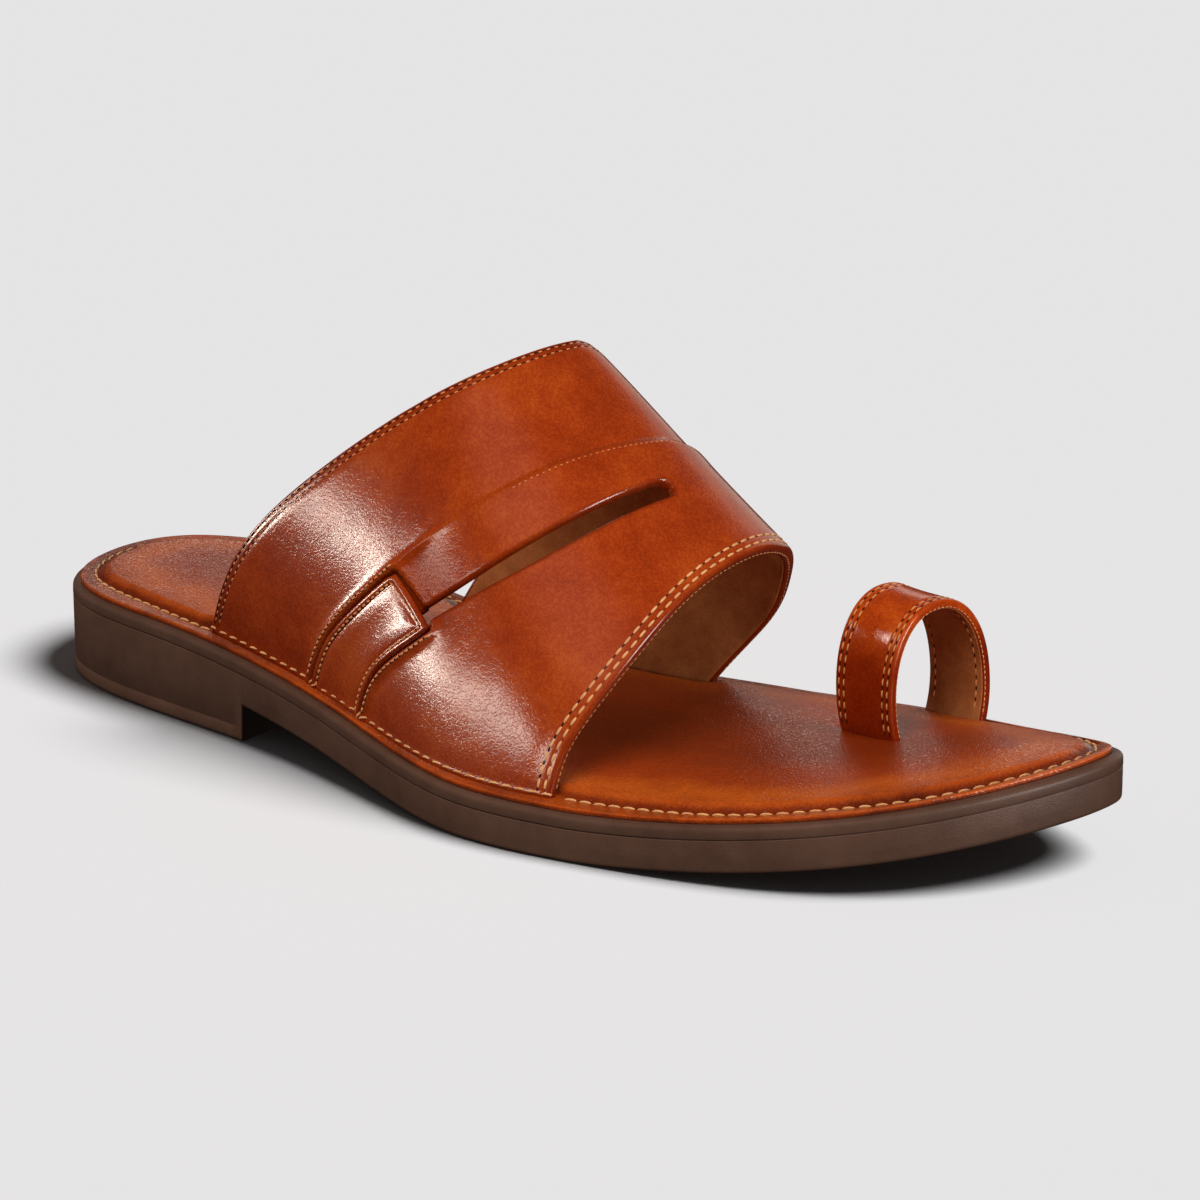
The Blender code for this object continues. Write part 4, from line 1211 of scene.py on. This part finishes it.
# Painted shade low down at both feet of the band, where it meets the rim.
burnish = burnish + FOOT_SHADE * bell(np.minimum(BAND_OVER, 1 - BAND_OVER), FOOT_SHADE_OVER)
between = (ease((BAND_ALONG - read(BAND_LINES, "ridge", BAND_OVER) + 0.5) / 1.5)
           * (BAND_ALONG < read(BAND_LINES, "slot_rear", BAND_OVER) + 2))
recess = UNPOLISHED * between * ease((UNPOLISHED_TOP - BAND_OVER) / UNPOLISHED_RUN)
make_piece("band_leather", points, faces, BAND_LEATHER, stands_for="upper",
           attributes={"burnish": on_wall(np.clip(burnish, 0, MOST_DYE_AND_SHADE), used),
                       "unpolished": on_wall(recess, used)})

# %% [markdown]
# The lining is a thin sheet of suede inside the wall, a little smaller than the leather. Along the
# two front seams it bulges inward, where the thread gathers it.

# %% Band lining
LINING_MARGIN, LINING_OUTER, LINING_INNER = 0.8, 0.1, -0.22
SEAM_RIDGE, SEAM_RIDGE_HALF = 0.18, 0.5
nearest = np.minimum.reduce(list(TO_BORDER.values()))
lining_kept = BAND_KEPT & (np.minimum(nearest[:-1, :-1], nearest[1:, 1:]) > LINING_MARGIN)
seam_ridge = SEAM_RIDGE * sum(bell(TO_BORDER["front"] - row, SEAM_RIDGE_HALF)
                              for row in FRONT_SEAMS)
lining = [sink_feet(band_face(BAND_ALONG, BAND_OVER, lift - seam_ridge), BAND_OVER)
          for lift in (LINING_OUTER - WALL, LINING_INNER - WALL)]
points, faces, used = wall(*lining, lining_kept)
make_piece("band_lining", points, faces, LINING)

# %% [markdown]
# ## The keeper tab
# A short strap crosses the join of the band's two straps. It is a piece of the band's own form,
# lifted by its thickness. A seam runs round it, and outside the seam its edge is a rolled strip.

# %% Keeper tab
TAB_THICKNESS, TAB_ROUND, TAB_SEAM, TAB_SINK = 1.4, 0.68, 1.9, 0.35
TAB_WIDTH, TAB_NARROWING, TAB_DYE, TAB_DYE_REACH, TAB_FOOT_SHADE = 19.5, 0.06, 0.5, 0.8, 0.3
STRIP_HEIGHT, PILLOW, PILLOW_RUN, TAB_SEAM_DIP, TAB_SEAM_HALF = 0.24, 0.20, 3.0, 0.20, 0.4


def tab_grid():
    """Places along and over the foot of a grid on the tab, crowded at its edges."""
    near = np.array([0.0, 0.004, 0.012, 0.024, 0.04, 0.058, 0.075, 0.09, 0.105, 0.12, 0.14, 0.17])
    across = np.concatenate([near, np.linspace(0.2, 0.8, 16), 1 - near[::-1]])
    up = np.concatenate([np.linspace(0, 0.9, 64), 1 - near[7::-1]])
    across, up = np.meshgrid(across, up)
    over = up * tab_top(across)
    narrow = TAB_NARROWING * ease((up - 0.94) / 0.06)
    share = 0.5 + (across - 0.5) * (1 - narrow)
    rear, front = tab_sides(over)
    return rear + share * (front - rear), over


def tab_lift(points):
    """Lift of the tab's outer face and its distance from the border, at points of its form."""
    distance = distance_to(points, TAB_LINE)
    strip = STRIP_HEIGHT * np.sin(np.pi * np.clip(distance / TAB_SEAM, 0, 1))
    seam = -TAB_SEAM_DIP * bell(distance - TAB_SEAM, TAB_SEAM_HALF)
    pillow = PILLOW * ease((distance - TAB_SEAM) / PILLOW_RUN)
    return GAP + TAB_THICKNESS - TAB_SINK + strip + seam + pillow, distance


tab_along, tab_over = tab_grid()
form = band_point(tab_along, tab_over)
TAB_LINE = np.vstack([form[:, 0], form[-1], form[::-1, -1]])
lift, distance = tab_lift(form)
tab_roll = edge_roll(distance, TAB_ROUND)
flare = foot_flare(tab_over)
outer = sink_feet(band_face(tab_along, tab_over, flare + lift - tab_roll), tab_over)
inner = sink_feet(band_face(tab_along, tab_over, flare + GAP - TAB_SINK + tab_roll), tab_over)
points, faces, used = wall(outer, inner, np.ones((outer.shape[0] - 1, outer.shape[1] - 1), bool))
# Dye along the tab's edges, and painted shade low down at its foot.
burnish = TAB_DYE * bell(distance, TAB_DYE_REACH) + TAB_FOOT_SHADE * bell(tab_over, FOOT_SHADE_OVER)
make_piece("keeper_tab_leather", points, faces, BAND_LEATHER,
           stands_for="keeper_tab", attributes={"burnish": on_wall(burnish, used)})

# %% [markdown]
# ## The toe ring
# A strap with rolled edges is carried along an arch: a squarish oval above its waist that draws
# in again to the two slits. Its lining is a second, thinner strap inside it.

# %% Toe ring
RING_CENTRE, RING_LEAN = np.array([226.0, 28.0, 18.6]), np.radians(3.6)
RING_WIDTH, RING_THICKNESS, RING_HALF_SPAN = 18.6, 2.2, 16.2
RING_HEIGHT, RING_WAIST, RING_SQUARENESS = 32.0, 9.5, 2.15
RING_SEAMS = (1.3, 2.9)
RING_SWELL, SWELL_SHARE, RING_EDGE, RING_LEG = 0.75, 0.7, 0.7, 2.0
RING_SEAM_DIP, RING_SEAM_HALF, RING_SHADE_BELOW, RING_SHADE_RUN = 0.17, 0.4, 50.0, 15.0
RingLining = namedtuple("RingLining", "margin sunk proud edge")
RING_LINING = RingLining(0.65, 0.1, 0.2, 0.12)
ring_width_axis = np.array([np.cos(RING_YAW) * np.cos(RING_LEAN),
                            np.sin(RING_YAW) * np.cos(RING_LEAN), np.sin(RING_LEAN)])
ring_span_axis = np.array([-np.sin(RING_YAW), np.cos(RING_YAW), 0.0])
ring_up_axis = np.cross(ring_width_axis, ring_span_axis)


def ring_arch(turn):
    """Span and height of the arch at an angle: a squarish oval, plain below its waist."""
    cosine, sine = np.cos(turn), np.sin(turn)
    power = 2 / RING_SQUARENESS
    span = RING_HALF_SPAN * np.sign(cosine) * np.abs(cosine) ** power
    tall = np.where(sine >= 0, np.abs(sine) ** power, sine) * (RING_HEIGHT - RING_WAIST)
    return np.stack([span, RING_WAIST + tall], axis=-1)


def ring_surface(turn, width, inward):
    """Points on the strap at an angle round the arch, a place across it and a depth inward.

    The rear half stands a little wider over the toe, as worn leather does.
    """
    tangent = ring_arch(turn - 0.01) - ring_arch(turn + 0.01)
    normal = unit(np.stack([tangent[..., 1], -tangent[..., 0]], axis=-1))
    profile = ring_arch(turn) + normal * inward[..., None]
    swell = RING_SWELL * np.clip(-2 * width / RING_WIDTH, 0, 1) ** 2 * np.clip(np.sin(turn), 0, 1)
    return (RING_CENTRE + profile[..., :1] * ring_span_axis
            + (profile[..., 1:] + swell[..., None] * SWELL_SHARE) * ring_up_axis
            + (width - swell * SWELL_SHARE)[..., None] * ring_width_axis)


def strap(turns, half_width, outward, inward, edge_round, seams=()):
    """A closed strap: a rounded rectangle carried along the arch, dipping under each seam."""
    steps = np.linspace(0, np.pi / 2, 6)
    flat = np.linspace(-half_width + edge_round, half_width - edge_round, 56)
    corner_w = half_width - edge_round + edge_round * np.sin(steps)
    corner_d = edge_round - edge_round * np.cos(steps)
    dips = np.zeros(len(flat))
    for row in seams:
        dips = dips + RING_SEAM_DIP * bell(half_width - np.abs(flat) - row, RING_SEAM_HALF)
    width = np.concatenate([flat, corner_w[1:], corner_w[::-1], flat[::-1][1:],
                            -corner_w[1:], -corner_w[::-1][:-1]])
    depth = np.concatenate([outward + dips, outward + corner_d[1:],
                            inward - corner_d[::-1], np.full(len(flat) - 1, inward),
                            inward - corner_d[1:], outward + corner_d[::-1][:-1]])
    grid = ring_surface(turns[:, None], np.broadcast_to(width, (len(turns), len(width))),
                        np.broadcast_to(depth, (len(turns), len(width))))
    number = np.arange(grid.shape[0] * grid.shape[1]).reshape(grid.shape[:2])
    faces = [tube_faces(number)]
    total = number.size
    centres = grid[[0, -1]].mean(axis=1)
    for row, centre, flip in ((number[0], total, False), (number[-1], total + 1, True)):
        fan = np.column_stack([np.full(len(row), centre), np.roll(row, -1), row])
        faces.append(fan[:, ::-1] if flip else fan)
    return np.vstack([grid.reshape(-1, 3), centres]), faces


below = np.arcsin((RING_WAIST + RING_LEG) / (RING_HEIGHT - RING_WAIST))
ring_turns = np.linspace(np.pi + below, -below, 150)
points, faces = strap(ring_turns, RING_WIDTH / 2, 0.0, RING_THICKNESS, RING_EDGE, RING_SEAMS)
# Painted shade on the ring's lower legs, growing darker towards the footbed.
burnish = ease((RING_SHADE_BELOW - points[:, 2]) / RING_SHADE_RUN)
make_piece("toe_ring_leather", points, faces, RING_LEATHER,
           stands_for="toe_ring", attributes={"burnish": burnish})
points, faces = strap(ring_turns, RING_WIDTH / 2 - RING_LINING.margin,
                      RING_THICKNESS - RING_LINING.sunk, RING_THICKNESS + RING_LINING.proud,
                      RING_LINING.edge)
make_piece("toe_ring_lining", points, faces, LINING)

# %% [markdown]
# ## Sewing
# Each seam is a path on a finished surface with the surface's normals along it: beside the band's
# borders, round the tab, round the ring, and along the whole rim. Where the band stands on the
# rim the thread runs over its turned foot.

# %% Seam paths
UP = np.array([0.0, 0.0, 1.0])
THREAD_REST, TAB_PRESS, BAND_PRESS = 0.06, 0.2, 0.05


def band_path(table, line, offset, start, finish, count=600):
    """Path over the band at a distance from a line of it or of the tab, with its normals."""
    over = np.linspace(start, finish, count)
    column = read(table, line, over)
    along = column + offset * stretch_factor(column, over)
    level = band_lift(band_point(along, over), along, over)
    return band_face(along, over, level), band_normal(along, over)


def tab_seam_path(count=300):
    """Path of the seam round the tab: up its rear edge, across its top and down its front."""
    inset = TAB_SEAM / TAB_WIDTH
    up = np.linspace(0.01, 0.952, count)
    across = np.concatenate([np.full(count, inset), np.linspace(inset, 1 - inset, count)[1:-1],
                             np.full(count, 1 - inset)])
    up = np.concatenate([up, np.full(count - 2, up[-1]), up[::-1]])
    over = up * tab_top(across)
    rear, front = tab_sides(over)
    along = rear + across * (front - rear)
    level = tab_lift(band_point(along, over))[0] + foot_flare(over)
    return band_face(along, over, level), band_normal(along, over)


def ring_path(width, inward, low=0.55, count=400):
    """Path along the ring at a place across it, with its outward normals."""
    turns = np.linspace(np.pi + below * low, -below * low, count)
    on = ring_surface(turns, np.full(count, width), np.full(count, inward))
    under = ring_surface(turns, np.full(count, width), np.full(count, inward + 1.0))
    return on, unit(on - under)


def rim_loop():
    """The perimeter thread's place round the whole rim."""
    ring = stitch_ring(0.0)
    return np.column_stack([ring, rim_top(ring[:, 0]) - CHANNEL_DEPTH + THREAD_REST])


def foot_path(start, finish, over, count=400):
    """Path along the foot of the band, and of the tab where the tab stands before it."""
    along = np.linspace(start, finish, count)
    over = np.full(count, over)
    form = band_point(along, over)
    rear, front = tab_sides(over)
    before = (along > rear) & (along < front) & (over < TAB_TOP_FRONT)
    level = np.where(before, tab_lift(form)[0] + foot_flare(over) - TAB_PRESS,
                     band_lift(form, along, over) - BAND_PRESS)
    path = band_face(along, over, level)
    return path, unit(band_normal(along, over) + UP)


front_edge = band_path(BAND_LINES, "front", 0.0, 0.0, 1.0)[0]
print("front edge:", round(np.linalg.norm(np.diff(front_edge, axis=0), axis=1).sum(), 1), "mm")

# %% [markdown]
# The thread round the rim is sewn in four runs: round the heel, round the toe, and along the band's
# two feet, which it holds down.

# %% Perimeter thread
HEEL_ENDS, TOE_ENDS = (60.5, 91.0), (179.5, 162.5)
FootRun = namedtuple("FootRun", "start finish over")
FOOT_RUNS = (FootRun(60.5, 178.2, 0.003), FootRun(90.5, 162.0, 0.997))
loop = rim_loop()
half = len(ALONG)
outer_side, inner_side = loop[:half], np.vstack([loop[half - 1:], loop[:1]])
heel = np.vstack([outer_side[outer_side[:, 0] < HEEL_ENDS[0]][::-1],
                  inner_side[inner_side[:, 0] < HEEL_ENDS[1]][::-1]])
toe = np.vstack([outer_side[outer_side[:, 0] > TOE_ENDS[0]],
                 inner_side[inner_side[:, 0] > TOE_ENDS[1]]])
rows = []
for path in (heel, toe):
    rows.append(stitches(path, np.broadcast_to(UP, path.shape), pitch=3.7, length=3.1,
                         width=0.64, slant=0.12))
for run in FOOT_RUNS:
    rows.append(stitches(*foot_path(*run), pitch=3.55, length=2.7, width=0.6, slant=0.10))
points, faces = join(rows)
make_piece("rim_stitches", points, faces, PALE_THREAD)

# %% [markdown]
# The other seams differ only in path, thread, step and size, so one function sews them all. Pale
# thread runs along the front edge and the two whipped borders, tan thread along everything else.
# Those inside the band and the ring lie on the linings.

# %% Seams of the band, the tab and the ring
Seam = namedtuple("Seam", "thread pitch length width proud hole_length hole_width",
                  defaults=(0.0, 0.0))
FRONT_SEAM = Seam("pale", 3.2, 2.4, 0.62, 0.2, 1.1, 0.85)
REAR_SEAM = Seam("tan", 2.3, 1.2, 0.42, 0.12, 1.2, 0.95)
BESIDE_TAB_SEAM = Seam("tan", 1.8, 1.4, 0.55, 0.2, 0.7, 0.55)
ON_TAB_SEAM = Seam("tan", 1.8, 1.35, 0.55, 0.2, 0.75, 0.6)
RING_SEAM = Seam("tan", 2.7, 1.75, 0.46, 0.16, 0.9, 0.62)
STEP_SEAM = Seam("tan", 1.5, 0.7, 0.28, 0.08)
RING_WHIP, FRONT_WHIP = Seam("pale", 1.3, 0.9, 0.28, 0.14), Seam("pale", 1.5, 1.05, 0.34, 0.14)
INSIDE_FRONT_SEAM = Seam("tan", 3.2, 2.0, 0.45, 0.18, 0.9, 0.6)
INSIDE_RING_SEAM = Seam("tan", 2.6, 1.6, 0.42, 0.16, 0.9, 0.6)
seams = {"pale": [], "tan": [], "hole": []}


def sew(seam, path, normals):
    """One seam: its stitches in its thread and, if it shows any, the holes between them."""
    seams[seam.thread].append(stitches(path, normals, seam.pitch, seam.length, seam.width,
                                       proud=seam.proud))
    if seam.hole_length:
        seams["hole"].append(holes(path, normals, seam.pitch, seam.hole_length,
                                   seam.hole_width))


for row in FRONT_SEAMS:
    sew(FRONT_SEAM, *band_path(BAND_LINES, "front", -row, start=0.008, finish=0.99))
for row in REAR_SEAMS:
    sew(REAR_SEAM, *band_path(BAND_LINES, "rear", row, start=0.008, finish=0.99))
for edge, offset, finish in (("rear", -1.75, 0.156), ("front", 1.6, 0.124)):
    sew(BESIDE_TAB_SEAM, *band_path(TAB_EDGES, edge, offset, 0.008, finish, count=200))
sew(ON_TAB_SEAM, *tab_seam_path())
for row in RING_SEAMS:
    for side in (-1, 1):
        sew(RING_SEAM, *ring_path(side * (RING_WIDTH / 2 - row), inward=0.12))
sew(RING_WHIP, *ring_path(RING_WIDTH / 2 - 0.12, RING_THICKNESS - 0.35, low=0.7))
path, normals = band_path(BAND_LINES, "front", -0.05, start=0.012, finish=0.985)
sew(FRONT_WHIP, path - normals * (WALL - 0.25), normals)
sew(STEP_SEAM, *band_path(BAND_LINES, "ridge", 2.0, start=0.30, finish=0.66))
path, normals = band_path(BAND_LINES, "front", -2.9, start=0.02, finish=0.98)
sew(INSIDE_FRONT_SEAM, path - normals * (WALL + 0.25), -normals)
for side in (-1, 1):
    path, normals = ring_path(side * (RING_WIDTH / 2 - 2.5), RING_THICKNESS + RING_LINING.proud,
                              low=0.7)
    sew(INSIDE_RING_SEAM, path, -normals)
for kind, name, material, slot in (("pale", "pale_stitches", PALE_THREAD, "thread"),
                                   ("tan", "tan_stitches", TAN_THREAD, "thread"),
                                   ("hole", "needle_holes", PAINTED_HOLE_SHADE, "upper_leather")):
    points, faces = join(seams[kind])
    make_piece(name, points, faces, material)

# %% [markdown]
# ## The studio
# The floor is one sheet that lies flat and curves up behind the shoe, so no horizon shows.

# %% Floor
VIEW_AZIMUTH, VIEW_ELEVATION, VIEW_DISTANCE = 37.0, 19.16, 1.1793
FLOOR_NEAR, FLOOR_HALF, CURVE_START, CURVE_RADIUS, WALL_TOP = -6.0, 9.0, 4.0, 2.0, 8.0


def studio_floor():
    """A sheet that lies flat and curves up far behind the shoe: a profile carried sideways."""
    turn = np.linspace(0, np.pi / 2, 24)
    curve = np.column_stack([CURVE_START + CURVE_RADIUS * np.sin(turn),
                             CURVE_RADIUS - CURVE_RADIUS * np.cos(turn)])
    profile = np.vstack([[FLOOR_NEAR, 0.0], curve, [CURVE_START + CURVE_RADIUS, WALL_TOP]])
    view = np.radians(VIEW_AZIMUTH)
    away, across = np.array([-np.sin(view), np.cos(view)]), np.array([np.cos(view), np.sin(view)])
    sides = np.array([-FLOOR_HALF, FLOOR_HALF])
    flat = profile[:, None, :1] * away + sides[None, :, None] * across
    points = np.concatenate([flat, np.broadcast_to(profile[:, None, 1:], flat.shape[:2] + (1,))],
                            axis=-1)
    number = np.arange(len(profile) * 2).reshape(-1, 2)
    material = start_material("studio_floor", Base_Color=(0.8, 0.79, 0.795, 1), Roughness=1.0,
                              Specular_IOR_Level=0.0)[0]
    return add_object("studio_floor", smooth_mesh("studio_floor", points.reshape(-1, 3),
                                                  [grid_faces(number)[:, ::-1]], material))


pieces = [item for item in bpy.context.scene.objects if item.type == "MESH"]
floor = studio_floor()
floor.visible_glossy = floor.visible_shadow = floor.visible_diffuse = False
print("floor:", len(floor.data.vertices), "points")

# %% [markdown]
# Polished leather shows what it mirrors, so each highlight has a light of its own: two low narrow
# strips on the outer side for the band, a pale panel and a strip behind for the crown and the
# footbed, and a small one for the toe ring. These show in reflections only. Soft lights from the
# front, the toe, the inner side and the heel give the dye its colour; of them only the toe's is
# mirrored too. A broad sun lights the floor alone, so that the shoe's shadow stays short.

# %% Lights
Softbox = namedtuple("Softbox", "name azimuth elevation distance width height power roll kind "
                                "reaches")
SOFTBOXES = (
    Softbox("side_strip", -57, 0.6, 0.8, 0.32, 0.09, 2.6, 0, "mirrored", "outer side"),
    Softbox("foot_strip", -28, 6.6, 0.8, 0.48, 0.09, 1.75, 19, "mirrored", "outer side"),
    Softbox("ring_light", -66, 26, 0.8, 0.13, 0.08, 2.0, 0, "mirrored", "ring"),
    Softbox("back_panel", 180, 15, 2.0, 1.4, 1.8, 7.5, 0, "mirrored", "all"),
    Softbox("backdrop_strip", 216, 15, 2.0, 1.0, 0.34, 1.3, 0, "mirrored", "all"),
    Softbox("front_light", 8, 52, 1.5, 0.9, 0.9, 19.5, 0, "soft", "all"),
    Softbox("toe_light", 84, 14, 1.2, 0.3, 0.5, 8.5, 0, "both", "all"),
    Softbox("inner_fill", 232, 9, 1.5, 1.6, 0.7, 13, 0, "soft", "all"),
    Softbox("heel_fill", 285, 9, 1.5, 0.8, 0.7, 6, 0, "soft", "all"),
)
REACHED = {
    "outer side": [bpy.data.objects[name] for name in ("band_leather", "keeper_tab_leather",
                                                       "tan_stitches", "pale_stitches")],
    "ring": [bpy.data.objects["toe_ring_leather"]],
    "all": pieces,
}
WARM_WHITE, SHOE_CENTRE = (1.0, 0.93, 0.82), np.array([0.0, 0.0, 0.05])
SUN_POWER, SUN_SPREAD, SUN_AZIMUTH, SUN_ELEVATION = 3.5, 32, 110, 57
SKY, SKY_STRENGTH, SKY_GLOSS_CHANGE, SKY_SEEN_CHANGE = (1.0, 0.99, 0.98, 1), 0.05, -0.03, 0.75


def towards(azimuth, elevation):
    """Unit vector towards an azimuth round the shoe and an elevation above the floor."""
    azimuth, elevation = np.radians(azimuth), np.radians(elevation)
    return np.array([np.sin(azimuth) * np.cos(elevation), -np.cos(azimuth) * np.cos(elevation),
                     np.sin(elevation)])


def look_at(item, position, target):
    """Moves a light or a camera to a position and turns it to face the target."""
    item.location = position
    item.rotation_euler = Vector(target - position).to_track_quat("-Z", "Y").to_euler()


def lit_only(light, things):
    """The light reaches only these things; the others still throw their shadow in it."""
    group = bpy.data.collections.new(light.name + "_reaches")
    for thing in things:
        group.objects.link(thing)
    light.light_linking.receiver_collection = group


def add_softbox(box):
    """A rectangular light that faces the shoe from a direction, turned in its plane by its roll."""
    data = bpy.data.lights.new(box.name, "AREA")
    data.shape, data.size, data.size_y, data.energy = "RECTANGLE", box.width, box.height, box.power
    if box.kind == "mirrored":
        data.color = WARM_WHITE
    light = add_object(box.name, data)
    position = SHOE_CENTRE + towards(box.azimuth, box.elevation) * box.distance
    look_at(light, position, SHOE_CENTRE)
    light.rotation_euler.rotate_axis("Z", np.radians(box.roll))
    light.visible_diffuse, light.visible_glossy = box.kind != "mirrored", box.kind != "soft"
    light.visible_camera = False
    lit_only(light, REACHED[box.reaches])


for box in SOFTBOXES:
    add_softbox(box)
sun = bpy.data.lights.new("top_light", "SUN")
sun.energy, sun.angle = SUN_POWER, np.radians(SUN_SPREAD)
top_light = add_object("top_light", sun)
look_at(top_light, towards(SUN_AZIMUTH, SUN_ELEVATION), np.zeros(3))
lit_only(top_light, [floor])
world = bpy.data.worlds.new("studio")
world.use_nodes = True
tree = world.node_tree
background = tree.nodes["Background"]
background.inputs["Color"].default_value = SKY
ray = tree.nodes.new("ShaderNodeLightPath").outputs
strength = arithmetic(tree, "MULTIPLY_ADD", ray["Is Glossy Ray"], SKY_GLOSS_CHANGE, SKY_STRENGTH)
strength = arithmetic(tree, "MULTIPLY_ADD", ray["Is Camera Ray"], SKY_SEEN_CHANGE, strength)
tree.links.new(strength, background.inputs["Strength"])
bpy.context.scene.world = world
bpy.context.scene.view_settings.view_transform = "Standard"
print("lights:", [light.name for light in bpy.data.lights])

# %% [markdown]
# The camera looks down a little at the shoe's outer side, from the front, through a long lens.

# %% Camera
LENS, FILM, FAR_CLIP, VIEW_TARGET = 150.46, 36.0, 50, (155.46, 0.0, 42.35)
camera_data = bpy.data.cameras.new("camera")
camera_data.lens, camera_data.sensor_width, camera_data.clip_end = LENS, FILM, FAR_CLIP
camera = add_object("camera", camera_data)
target = place(VIEW_TARGET)
look_at(camera, target + towards(VIEW_AZIMUTH, VIEW_ELEVATION) * VIEW_DISTANCE, target)
bpy.context.scene.camera = camera
print("camera", VIEW_DISTANCE, "m away")
